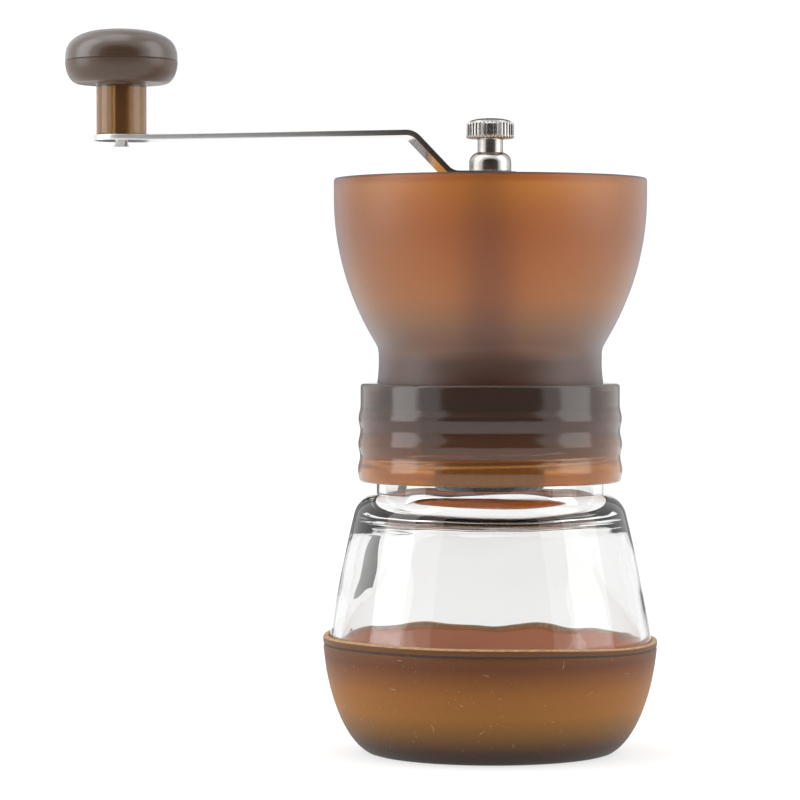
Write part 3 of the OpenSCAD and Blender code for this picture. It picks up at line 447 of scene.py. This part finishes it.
bead_z = COVER_H - BEAD_H
cover_inside = [
    (foot_inset(z, COVER_WALL), z) for z in spread(FOOT_BULGE_Z, COVER_FLOOR, 24)
]
rim_inner = (COVER_R - COVER_WALL + RIM_INNER_R, COVER_H - RIM_INNER_R)
cover_outline = (
    [(0, 0)]
    + groove(GRIP_RINGS[1])
    + groove(GRIP_RINGS[0])
    + [(foot_out(0) - FOOT_EDGE, 0)]
    + [(foot_out(z), z) for z in spread(0.0003, bead_z - 0.0008, 44)]
    + [(foot_out(bead_z) - BEAD_GROOVE, bead_z - 0.0003), (foot_out(bead_z) - BEAD_GROOVE, bead_z)]
    + [(foot_out(bead_z), bead_z + 0.0004)]
    + arc((COVER_R - RIM_OUTER_R, COVER_H - RIM_OUTER_R), RIM_OUTER_R, 0, 90, 5)
    + arc(rim_inner, RIM_INNER_R, 90, 180, 4)
    + cover_inside
    + [(0, COVER_FLOOR)]
)


def texture_at(made, size, kind="ShaderNodeTexNoise", stretch=(1, 1, 1)):
    """A texture node in the piece's own coordinates, with features about size metres wide."""
    tree = made.node_tree
    place = tree.nodes.new("ShaderNodeTexCoord")
    scaled = tree.nodes.new("ShaderNodeMapping")
    scaled.inputs["Scale"].default_value = stretch
    texture = tree.nodes.new(kind)
    texture.inputs["Scale"].default_value = 1 / size
    tree.links.new(place.outputs["Object"], scaled.inputs["Vector"])
    tree.links.new(scaled.outputs["Vector"], texture.inputs["Vector"])
    return texture


def ramp(made, source, stops):
    """A colour ramp on a texture's output. Each stop is (place, colour)."""
    node = made.node_tree.nodes.new("ShaderNodeValToRGB")
    made.node_tree.links.new(source, node.inputs["Fac"])
    bar = node.color_ramp
    while len(bar.elements) < len(stops):
        bar.elements.new(0.5)
    for element, (place, colour) in zip(bar.elements, stops):
        element.position = place
        element.color = (*colour, 1)
    return node.outputs["Color"]


COLOUR_INPUTS = (6, 7)
COLOUR_OUTPUT = 2


def blend_colour(made, share, first, second):
    """Mixes two colours, each a plain one or another node's."""
    node = made.node_tree.nodes.new("ShaderNodeMix")
    node.data_type = "RGBA"
    made.node_tree.links.new(share, node.inputs["Factor"])
    for place, value in zip(COLOUR_INPUTS, (first, second)):
        socket = node.inputs[place]
        if isinstance(value, tuple):
            socket.default_value = (*value, 1)
        else:
            made.node_tree.links.new(value, socket)
    return node.outputs[COLOUR_OUTPUT]


def mottle(made, size, drift, stretch=(1, 1, 1)):
    """Lets a finish's own colour drift from place to place, as wear and handling do."""
    shader = made.node_tree.nodes["Principled BSDF"]
    colour = tuple(shader.inputs["Base Color"].default_value)[:3]
    patches = texture_at(made, size, stretch=stretch)
    darker = tuple(channel * (1 - drift) for channel in colour)
    paint(made, ramp(made, patches.outputs["Fac"], [(0.38, darker), (0.62, colour)]))


def bump(made, source, depth):
    """Adds relief to a finish, on top of what it already has."""
    tree = made.node_tree
    node = tree.nodes.new("ShaderNodeBump")
    node.inputs["Distance"].default_value = depth
    shader = tree.nodes["Principled BSDF"]
    tree.links.new(source, node.inputs["Height"])
    before = shader.inputs["Normal"].links
    if before:
        tree.links.new(before[0].from_socket, node.inputs["Normal"])
    tree.links.new(node.outputs["Normal"], shader.inputs["Normal"])


def place_ramp(made, axis, first, last, stops):
    """A colour that changes along one axis of the grinder."""
    tree = made.node_tree
    place = tree.nodes.new("ShaderNodeTexCoord")
    parts = tree.nodes.new("ShaderNodeSeparateXYZ")
    share = tree.nodes.new("ShaderNodeMapRange")
    share.inputs["From Min"].default_value = first
    share.inputs["From Max"].default_value = last
    tree.links.new(place.outputs["Object"], parts.inputs["Vector"])
    tree.links.new(parts.outputs[axis], share.inputs["Value"])
    return ramp(made, share.outputs["Result"], stops)


def paint(made, source):
    shader = made.node_tree.nodes["Principled BSDF"]
    made.node_tree.links.new(source, shader.inputs["Base Color"])


rubber = finish(
    "brown_rubber", (0.16, 0.065, 0.03), 0.5, IOR=1.48, Transmission_Weight=0.5,
    Specular_IOR_Level=0.2
)
# Colour by height: nearly black at the foot, a bright orange band low down, darker again under the
# rim. This is painted shade at the foot and under the rim, and a painted glow where light comes
# through the rubber.
rubber_painted_glow_and_shade = place_ramp(
    rubber,
    "Z",
    0,
    COVER_H,
    [
        (0.0, (0.015, 0.01, 0.006)),
        (0.12, (0.08, 0.036, 0.012)),
        (0.26, (0.28, 0.13, 0.018)),
        (0.42, (0.47, 0.195, 0.022)),
        (0.60, (0.45, 0.175, 0.022)),
        (0.84, (0.20, 0.065, 0.014)),
        (1.0, (0.24, 0.095, 0.024)),
    ],
)
specks = texture_at(rubber, 0.0011, "ShaderNodeTexVoronoi")
speck_share = ramp(rubber, specks.outputs["Distance"], [(0.06, (0.7,) * 3), (0.13, (0,) * 3)])
paint(rubber, blend_colour(rubber, speck_share, rubber_painted_glow_and_shade, (0.36, 0.20, 0.08)))
bump(rubber, texture_at(rubber, 0.00035).outputs["Fac"], 0.00005)

# The cup's inside gets a brighter, more saturated orange than its outside: a painted glow of light
# passing through the rubber wall.
rubber_inside_painted_glow = finish(
    "brown_rubber_inside_painted_glow", (0.80, 0.19, 0.002), 0.4, IOR=1.48, Transmission_Weight=0.3,
    Specular_IOR_Level=0.0
)
cover = lathe("base_cup", cover_outline, COVER_CORNERS, cover_bend, 40)
cover.data.materials.append(rubber)
cover.data.materials.append(rubber_inside_painted_glow)
# A pale gold band along the top of the rim: a painted highlight.
rubber_lip_painted_highlight = finish("brown_rubber_lip_painted_highlight", (0.50, 0.30, 0.13), 0.45, IOR=1.48)
mottle(rubber_lip_painted_highlight, 0.0012, 0.35)
# A near-black band in the bead's groove: painted shade in the crease.
rubber_crease_painted_shade = finish("brown_rubber_crease_painted_shade", (0.05, 0.026, 0.014), 0.6, IOR=1.48)
mottle(rubber_crease_painted_shade, 0.0012, 0.35)
cover.data.materials.append(rubber_lip_painted_highlight)
cover.data.materials.append(rubber_crease_painted_shade)
for face in cover.data.polygons:
    place = face.index // COVER_CORNERS
    level = cover_outline[place][1]
    if place >= len(cover_outline) - len(cover_inside) - 1:
        face.material_index = 1
    # Faces at the top of the rim take the painted highlight.
    elif level > COVER_H - LIP_PAINTED_HIGHLIGHT:
        face.material_index = 2
    # Faces in the bead's groove take the painted shade.
    elif abs(level - bead_z) < BEAD_SHADE_REACH:
        face.material_index = 3
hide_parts("base_cover")
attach(cover, "jar")

LINT_COUNT = 70
LINT_STEPS = 6
LINT_LOW = 0.005
LINT_HIGH = 0.031
LINT_CURL = 0.9
LINT_SINK = 0.6
LINT_R = 0.00004
LINT_LENGTH = (0.0005, 0.0026)
DUST_COUNT = 650
DUST_R = (0.00006, 0.00016)
DUST_LOW = 0.004
DUST_TOP = 0.030


def cup_point(turn, z, lift):
    """A point on the cup's outside, lifted off it by a hair's radius."""
    r = foot_out(z) + lift
    return Vector((r * math.cos(turn), r * math.sin(turn), z))


def lint_fibre(shape, draw):
    """One short curled fibre that clings to the cup, as a closed tube of square section."""
    turn = draw.uniform(0, 2 * math.pi)
    z = draw.uniform(LINT_LOW, DUST_TOP)
    heading = draw.uniform(0, math.pi)
    curl = draw.uniform(-LINT_CURL, LINT_CURL)
    step = draw.uniform(*LINT_LENGTH) / LINT_STEPS
    rings = []
    for _ in range(LINT_STEPS + 1):
        at = cup_point(turn, z, LINT_SINK * LINT_R)
        out = Vector((math.cos(turn), math.sin(turn), 0))
        along = Vector((-out.y * math.cos(heading), out.x * math.cos(heading), math.sin(heading)))
        across = out.cross(along)
        rings.append([
            shape.verts.new(at + LINT_R * side)
            for side in (out, across, -out, -across)
        ])
        turn += step * math.cos(heading) / COVER_R
        z = min(LINT_HIGH, max(DUST_LOW, z + step * math.sin(heading)))
        heading += 2 * curl / LINT_STEPS
    for here, there in zip(rings, rings[1:]):
        for k in range(4):
            n = (k + 1) % 4
            shape.faces.new((here[k], here[n], there[n], there[k]))
    shape.faces.new(rings[0])
    shape.faces.new(rings[-1])


def dust_grain(shape, draw):
    """One small grain, half sunk in the rubber."""
    at = cup_point(draw.uniform(0, 2 * math.pi), draw.uniform(DUST_LOW, DUST_TOP), 0)
    r = draw.uniform(*DUST_R) * draw.uniform(0.5, 1)
    made = bmesh.ops.create_icosphere(shape, subdivisions=1, radius=r)
    bmesh.ops.translate(shape, verts=made["verts"], vec=at)


draw = random.Random(11)
lint_shape = bmesh.new()
for _ in range(LINT_COUNT):
    lint_fibre(lint_shape, draw)
for _ in range(DUST_COUNT):
    dust_grain(lint_shape, draw)
lint = solid("cup_lint", lint_shape)
pale_lint = finish("pale_lint", (0.62, 0.46, 0.27), 0.8)
tint = texture_at(pale_lint, 0.004)
paint(
    pale_lint,
    ramp(pale_lint, tint.outputs["Fac"], [(0.35, (0.42, 0.28, 0.14)), (0.65, (0.72, 0.58, 0.38))]),
)
lint.data.materials.append(pale_lint)
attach(lint, "jar")

# ---- CAD pieces with turned, moulded and pressed finishes ----
# These pieces keep their solids: they weld the facets of one surface together, split the real
# corners and take their finish.
SPLIT_ANGLE = math.radians(35)
WELD_REACH = 2e-6


def dress(node, made):
    """Gives a solid its finish and smooth shading, with its real corners kept."""
    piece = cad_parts[node]
    piece.data.materials.clear()
    piece.data.materials.append(made)
    piece.data.polygons.foreach_set("use_smooth", [True] * len(piece.data.polygons))
    weld = piece.modifiers.new("weld", "WELD")
    weld.merge_threshold = WELD_REACH
    split = piece.modifiers.new("split", "EDGE_SPLIT")
    split.split_angle = SPLIT_ANGLE
    return piece


silicone = finish("white_silicone", (0.80, 0.80, 0.77), 0.45)
mottle(silicone, 0.003, 0.06)
bump(silicone, texture_at(silicone, 0.0005).outputs["Fac"], 0.00002)
dress("jar_seal", silicone)

# ---- Hopper ----
# Four mouldings in frosted amber plastic, welded into one: the bowl with its neck, the screw
# collar with its grip rings, the burr holder and the centre tube on its spokes.
amber = finish(
    "amber_plastic", (0.54, 0.21, 0.04), 0.40, IOR=1.5, Transmission_Weight=0.92,
    Specular_IOR_Level=0.3, Sheen_Weight=0.4, Sheen_Roughness=0.45,
    Sheen_Tint=(0.42, 0.62, 0.88, 1)
)
# Colour by height: darker and greyer low in the bowl, where the burrs and holder stand behind the
# plastic, brightest orange in the middle, and a thin near-black band at the top of the rim. This is
# painted shade and a painted glow.
amber_painted_light_by_height = place_ramp(
    amber,
    "Z",
    0.098,
    0.1655,
    [
        (0.0, (0.30, 0.165, 0.10)),
        (0.22, (0.37, 0.23, 0.165)),
        (0.35, (0.48, 0.31, 0.19)),
        (0.48, (0.66, 0.345, 0.12)),
        (0.62, (0.63, 0.30, 0.08)),
        (0.75, (0.58, 0.255, 0.055)),
        (0.97, (0.64, 0.27, 0.045)),
        (0.986, (0.70, 0.30, 0.04)),
        (0.990, (0.08, 0.045, 0.02)),
    ],
)
paint(amber, amber_painted_light_by_height)
bump(amber, texture_at(amber, 0.0004).outputs["Fac"], 0.00002)
dress("hopper", amber)

amber_collar = finish(
    "amber_collar", (0.42, 0.17, 0.05), 0.13, IOR=1.5, Transmission_Weight=0.85,
    Specular_IOR_Level=1.0
)
# Colour by height: bright orange at the foot of the collar, fading to a dark grey-brown at its top.
# This is a painted glow low down and painted shade higher up.
paint(
    amber_collar,
    place_ramp(
        amber_collar,
        "Z",
        0.078,
        0.098,
        [
            (0.0, (0.74, 0.34, 0.07)),
            (0.22, (0.58, 0.25, 0.065)),
            (0.45, (0.36, 0.17, 0.08)),
            (0.80, (0.23, 0.13, 0.10)),
            (1.0, (0.20, 0.13, 0.10)),
        ],
    ),
)
bump(amber_collar, texture_at(amber_collar, 0.0006).outputs["Fac"], 0.00002)
dress("screw_collar", amber_collar)

amber_inner = finish(
    "amber_inner", (0.80, 0.44, 0.16), 0.35, IOR=1.5, Transmission_Weight=0.92,
    Specular_IOR_Level=0.3
)
bump(amber_inner, texture_at(amber_inner, 0.0004).outputs["Fac"], 0.00002)
for node in ("burr_holder", "centre_tube"):
    dress(node, amber_inner)

# ---- Bushes, washers and burr set ----
# Ivory acetal bushes run on the steel shaft. The two burrs are white ceramic, held by a dark
# ring with three screws, and a dark dial on a brass insert sets the gap between them. A steel
# coil spring presses the inner burr down on the dial.
acetal = finish("ivory_acetal", (0.78, 0.73, 0.62), 0.4)
mottle(acetal, 0.003, 0.06)
bump(acetal, texture_at(acetal, 0.0004).outputs["Fac"], 0.00001)
for node in ("upper_bush", "lower_bush"):
    dress(node, acetal)

ceramic = finish("white_ceramic", (0.80, 0.79, 0.75), 0.55)
mottle(ceramic, 0.002, 0.08)
bump(ceramic, texture_at(ceramic, 0.0005).outputs["Fac"], 0.00003)
for node in ("outer_burr", "inner_burr"):
    dress(node, ceramic)

black_plastic = finish("dark_plastic", (0.035, 0.034, 0.033), 0.4)
mottle(black_plastic, 0.002, 0.3)
bump(black_plastic, texture_at(black_plastic, 0.0004).outputs["Fac"], 0.00002)
for node in ("burr_retainer", "burr_driver", "adjusting_dial"):
    dress(node, black_plastic)

TURNING = (0.05, 0.05, 1)
turned_steel = finish("turned_steel", (0.60, 0.60, 0.61), 0.28, Metallic=1.0)
mottle(turned_steel, 0.0006, 0.15, TURNING)
bump(turned_steel, texture_at(turned_steel, 0.0002, stretch=TURNING).outputs["Fac"], 0.000006)
for node in ("shaft", "thrust_washer", "spring_washer", "retainer_screws", "knob_washer",
             "knob_pin"):
    dress(node, turned_steel)

WIRE_R = 0.00055
SPRING_R = 0.0056
SPRING_TURNS = 4.5
WIRE_STEPS = 160
WIRE_SIDES = 12
GROUND_SHARE = 0.6

spring_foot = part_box("burr_spring")[0][2]
spring_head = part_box("burr_spring")[1][2]


def spring_wire():
    """The burr spring: an even coil with its two ends ground flat."""
    shape = bmesh.new()
    rings = []
    rise = spring_head - spring_foot - 2 * GROUND_SHARE * WIRE_R
    for i in range(WIRE_STEPS + 1):
        turn = 2 * math.pi * SPRING_TURNS * i / WIRE_STEPS
        middle = spring_foot + GROUND_SHARE * WIRE_R + rise * i / WIRE_STEPS
        ring = []
        for k in range(WIRE_SIDES):
            side = 2 * math.pi * k / WIRE_SIDES
            r = SPRING_R + WIRE_R * math.cos(side)
            z = min(spring_head, max(spring_foot, middle + WIRE_R * math.sin(side)))
            ring.append(shape.verts.new((r * math.cos(turn), r * math.sin(turn), z)))
        rings.append(ring)
    for here, there in zip(rings, rings[1:]):
        for k in range(WIRE_SIDES):
            n = (k + 1) % WIRE_SIDES
            shape.faces.new((here[k], here[n], there[n], there[k]))
    shape.faces.new(rings[0])
    shape.faces.new(rings[-1])
    return solid("spring_wire", shape, 40)


spring = spring_wire()
spring.data.materials.append(turned_steel)
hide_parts("burr_spring")
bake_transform(spring)

brass = finish("turned_brass", (0.72, 0.50, 0.20), 0.3, Metallic=1.0)
mottle(brass, 0.0006, 0.15, TURNING)
bump(brass, texture_at(brass, 0.0002, stretch=TURNING).outputs["Fac"], 0.000006)
dress("threaded_insert", brass)

# ---- Crank arm ----
# A strip of polished stainless steel with its edges tumbled soft, bent up from the foot on the
# shaft and levelled again at the pad under the knob.
ARM_W = 0.0156
ARM_T = 0.0016
ARM_EDGE = 0.0003
REACH = 0.106
FOOT_Z = 0.1656
LOW_BEND = (0.0102021, 0.1712)
HIGH_BEND = (0.0254207, 0.1731396)
BEND_R = 0.004
ARM_ANGLE = 46.0
ARM_DROOP = 1.45
PAD_U = 0.0977
PAD_FLAT = 0.006
EDGE_FACING = 0.3
SEAT_Z = 0.1769117

mid_t = ARM_T / 2
arm_path = (
    [(u, FOOT_Z + mid_t) for u in spread(-ARM_W / 2, 0, 14)]
    + arc(LOW_BEND, BEND_R + mid_t, -90, -90 + ARM_ANGLE, 14)
    + arc(HIGH_BEND, BEND_R + mid_t, 90 + ARM_ANGLE, 90 - ARM_DROOP, 14)
)
droop_start = arm_path[-1]
arm_path += [
    (
        droop_start[0] + (PAD_U - droop_start[0]) * t,
        droop_start[1] + (SEAT_Z - mid_t - droop_start[1]) * t,
    )
    for t in spread(0.1, 1, 9)
]
arm_path += [(u, SEAT_Z - mid_t) for u in spread(REACH - PAD_FLAT, REACH + ARM_W / 2, 22)]


def strip_section(half_w, half_t, edge):
    """Corners of the strip's section: a rectangle with rounded edges."""
    edge = min(edge, half_w * 0.9, half_t * 0.9)
    points = []
    for x, y, first in ((1, 1, 0), (-1, 1, 90), (-1, -1, 180), (1, -1, 270)):
        centre = (x * (half_w - edge), y * (half_t - edge))
        points += arc(centre, edge, first, first + 90, 3)
    return points


def half_width(u):
    """Half the strip's width at distance u from the axis, with its round ends."""
    out = max(0.0, -u, u - REACH)
    return math.sqrt(max((ARM_W / 2) ** 2 - out ** 2, (ARM_W / 50) ** 2))


def crank_strip():
    """The arm: its section carried along the bent path, narrower at both round ends."""
    shape = bmesh.new()
    rings = []
    for i, (u, z) in enumerate(arm_path):
        before = arm_path[max(0, i - 1)]
        after = arm_path[min(len(arm_path) - 1, i + 1)]
        run = Vector((after[0] - before[0], after[1] - before[1])).normalized()
        rings.append([
            shape.verts.new((-(u - run.y * t), y, z + run.x * t))
            for y, t in strip_section(half_width(u), mid_t, ARM_EDGE)
        ])
    for here, there in zip(rings, rings[1:]):
        for k in range(len(here)):
            n = (k + 1) % len(here)
            shape.faces.new((here[k], here[n], there[n], there[k]))
    shape.faces.new(rings[0])
    shape.faces.new(rings[-1])
    return solid("crank_strip", shape, 30)


strip_steel = finish("polished_steel", (0.78, 0.77, 0.76), 0.16, Metallic=1.0)
brushing = texture_at(strip_steel, 0.0006, stretch=(0.06, 1, 1))
bump(strip_steel, brushing.outputs["Fac"], 0.00001)
sheared_steel_painted_reflection = finish("sheared_steel_painted_reflection", (0.50, 0.49, 0.48), 0.42, Metallic=1.0)
grain = texture_at(sheared_steel_painted_reflection, 0.0004, stretch=(1, 1, 0.3))
bump(sheared_steel_painted_reflection, grain.outputs["Fac"], 0.00003)
# The strip's edges run from near white at the knob end to dark near the shaft: a painted reflection
# along the arm.
paint(
    sheared_steel_painted_reflection,
    place_ramp(
        sheared_steel_painted_reflection, "X", -0.106, 0.01,
        [
            (0.0, (0.86, 0.85, 0.84)),
            (0.32, (0.62, 0.61, 0.60)),
            (0.60, (0.28, 0.27, 0.26)),
            (0.72, (0.14, 0.13, 0.12)),
            (1.0, (0.12, 0.11, 0.105)),
        ],
    ),
)
arm = crank_strip()
arm.data.materials.append(strip_steel)
arm.data.materials.append(sheared_steel_painted_reflection)
for face in arm.data.polygons:
    if abs(face.normal.y) > EDGE_FACING:
        face.material_index = 1
arm.modifiers.new("flat_faces", "WEIGHTED_NORMAL").keep_sharp = True
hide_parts("crank_arm")
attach(arm, "crank")

# ---- Thumb nut ----
# Turned from brass bar and chrome plated: a knurled head with a low dome, a thin neck and a
# bell that presses on the arm.
NUT_Z = FOOT_Z + ARM_T
NUT_R = 0.007
NUT_BAND_H = 0.0047
NUT_DOME_H = 0.0012
NUT_NECK_R = 0.00365
NUT_NECK_Z = 0.0095
BELL_R = 0.00605
BELL_ROUND = 0.003
BELL_SIDE_H = 0.0026
KNURLS = 38
KNURL_DEPTH = 0.0004
STUD_HOLE_R = 0.00265
STUD_HOLE_L = 0.012
DRILL_POINT = 0.0006
BELL_EDGE = 0.0003
BELL_SIDE_FROM = 0.0008
NECK_FROM = 0.0062
NECK_FLARE = 0.0003
HEAD_UNDER = 0.0008
HEAD_BREAK = 0.00045
HEAD_STEP = 0.0001
HEAD_EDGE = 0.0005
DOME_INSET = 0.0009
KNURL_STEEP = 1.7
KNURL_LAND = 0.35

nut_top = NUT_NECK_Z + NUT_BAND_H
nut_outline = (
    [(STUD_HOLE_R, 0), (BELL_R - BELL_EDGE, 0), (BELL_R, BELL_EDGE)]
    + [(BELL_R, z) for z in spread(BELL_SIDE_FROM, BELL_SIDE_H, 3)]
    + arc((BELL_R - BELL_ROUND, BELL_SIDE_H), BELL_ROUND, 6, 78, 12)
    + [(NUT_NECK_R, z) for z in spread(NECK_FROM, NUT_NECK_Z - NECK_FLARE, 4)]
    + [(NUT_NECK_R + NECK_FLARE, NUT_NECK_Z)]
    + [(NUT_R - HEAD_UNDER, NUT_NECK_Z), (NUT_R - HEAD_BREAK, NUT_NECK_Z + HEAD_STEP)]
    + [(NUT_R, z) for z in spread(NUT_NECK_Z + HEAD_EDGE, nut_top - HEAD_EDGE, 6)]
    + [(NUT_R - HEAD_BREAK, nut_top - HEAD_STEP), (NUT_R - DOME_INSET, nut_top)]
    + [
        ((NUT_R - DOME_INSET) * math.cos(t), nut_top + NUT_DOME_H * math.sin(t))
        for t in spread(0.15, math.pi / 2, 8)[:-1]
    ]
    + [(0, nut_top + NUT_DOME_H), (0, STUD_HOLE_L + DRILL_POINT), (STUD_HOLE_R, STUD_HOLE_L)]
)


def nut_bend(r, turn, z, i):
    """Cuts the knurls into the head's band."""
    if r < NUT_R - HEAD_STEP:
        return r, z
    wave = abs((turn * KNURLS / (2 * math.pi)) % 1 - 0.5) * 2
    return r - KNURL_DEPTH * min(1.0, max(0.0, wave * KNURL_STEEP - KNURL_LAND)), z


chrome = finish(
    "chrome_plate", (0.60, 0.58, 0.56), 0.22, Metallic=1.0,
    Specular_Tint=(0.30, 0.28, 0.27, 1)
)
mottle(chrome, 0.002, 0.08)
bump(chrome, texture_at(chrome, 0.0008).outputs["Fac"], 0.000008)
nut = lathe("thumb_nut_turned", nut_outline, KNURLS * 8, nut_bend, 28)
for corner in nut.data.vertices:
    corner.co.z += NUT_Z
nut.data.materials.append(chrome)
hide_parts("thumb_nut")
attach(nut, "crank")

# ---- Knob ----
# Two mouldings that turn freely on the riveted pin: a glossy translucent stem that opens into
# the lower shell of the head, and a satin cap snapped into it.
STEM_R = 0.0071
STEM_H = 0.0145
STEM_EDGE = 0.0003
STEM_SIDE_FROM = 0.0008
STEM_FLARE = 0.0004
KNOB_R = 0.01595
KNOB_FLAT_R = 0.0121
PAN_H = 0.0066
CAP_H = 0.0089
CAP_POWER = 2.7
KNOB_WALL = 0.002
SEAM_BEVEL = 0.0002
BORE_R = 0.00205
LIP_DEPTH = 0.0024
LIP_GAP = 0.00012
LIP_W = 0.0012

seam_h = STEM_H + PAN_H
pan_floor_h = STEM_H + KNOB_WALL
pan_inside = KNOB_R - KNOB_WALL - KNOB_FLAT_R
lip_drop = LIP_DEPTH / (PAN_H - KNOB_WALL)
lip_r = KNOB_FLAT_R + pan_inside * math.sqrt(1 - lip_drop ** 2) - LIP_GAP


def quarter(centre, wide, tall, power, count):
    """Points of a quarter of a superellipse, from its side up to its top."""
    points = []
    for t in spread(0, math.pi / 2, count):
        out = abs(math.cos(t)) ** (2 / power)
        up = abs(math.sin(t)) ** (2 / power)
        points.append((centre[0] + wide * out, centre[1] + tall * up))
    return points


def on_knob(piece):
    """Lifts a piece drawn on the axis to the knob's seat on the arm."""
    for corner in piece.data.vertices:
        corner.co += Vector((-REACH, 0, SEAT_Z))
    return piece


pan_round = quarter((0, 0), PAN_H - SEAM_BEVEL, KNOB_R - KNOB_FLAT_R, 2, 16)
pan_hollow = quarter((0, 0), PAN_H - KNOB_WALL, KNOB_R - KNOB_WALL - KNOB_FLAT_R, 2, 14)
stem_outline = (
    [(BORE_R, 0), (STEM_R - STEM_EDGE, 0), (STEM_R, STEM_EDGE)]
    + [(STEM_R, z) for z in spread(STEM_SIDE_FROM, STEM_H - STEM_FLARE, 8)]
    + [(STEM_R + STEM_FLARE, STEM_H)]
    + [(KNOB_FLAT_R + p[1], seam_h - SEAM_BEVEL - p[0]) for p in pan_round]
    + [(KNOB_R - SEAM_BEVEL, seam_h), (KNOB_R - KNOB_WALL, seam_h)]
    + [(KNOB_FLAT_R + p[1], seam_h - p[0]) for p in reversed(pan_hollow)]
    + [(KNOB_FLAT_R * 0.7, pan_floor_h), (BORE_R, pan_floor_h)]
)
smoke = finish("smoke_plastic", (0.30, 0.16, 0.065), 0.14, IOR=1.5, Transmission_Weight=0.8)
mottle(smoke, 0.002, 0.08)
bump(smoke, texture_at(smoke, 0.0009).outputs["Fac"], 0.000012)
satin_pan = finish("brown_pan", (0.085, 0.052, 0.036), 0.3, IOR=1.5)
bump(satin_pan, texture_at(satin_pan, 0.0005).outputs["Fac"], 0.00002)
stem = on_knob(lathe("knob_stem_and_pan", stem_outline, 128, None, 38))
stem.data.materials.append(smoke)
stem.data.materials.append(satin_pan)
for face in stem.data.polygons:
    if face.center.z > SEAT_Z + STEM_H - 0.0001:
        face.material_index = 1
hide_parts("knob_body")
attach(stem, "knob")

cap_outside = quarter((0, seam_h + SEAM_BEVEL), KNOB_R, CAP_H - SEAM_BEVEL, CAP_POWER, 28)
cap_inside = quarter((0, seam_h), KNOB_R - KNOB_WALL, CAP_H - KNOB_WALL, CAP_POWER, 20)
cap_outline = (
    [(KNOB_R - SEAM_BEVEL, seam_h)]
    + cap_outside[:-1]
    + [(0, seam_h + CAP_H), (0, seam_h + CAP_H - KNOB_WALL)]
    + list(reversed(cap_inside[4:-1]))
    + [(lip_r - LIP_W, seam_h + LIP_W), (lip_r - LIP_W, seam_h - LIP_DEPTH)]
    + [(lip_r, seam_h - LIP_DEPTH), (lip_r, seam_h)]
)
satin_brown = finish(
    "brown_plastic", (0.066, 0.037, 0.021), 0.26, IOR=1.5, Specular_IOR_Level=0.9,
    Sheen_Weight=0.5, Sheen_Roughness=0.35, Sheen_Tint=(0.8, 0.85, 0.9, 1)
)
bump(satin_brown, texture_at(satin_brown, 0.0005).outputs["Fac"], 0.00002)
cap = on_knob(lathe("knob_dome", cap_outline, 128, None, 38))
cap.data.materials.append(satin_brown)
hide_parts("knob_cap")
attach(cap, "knob")
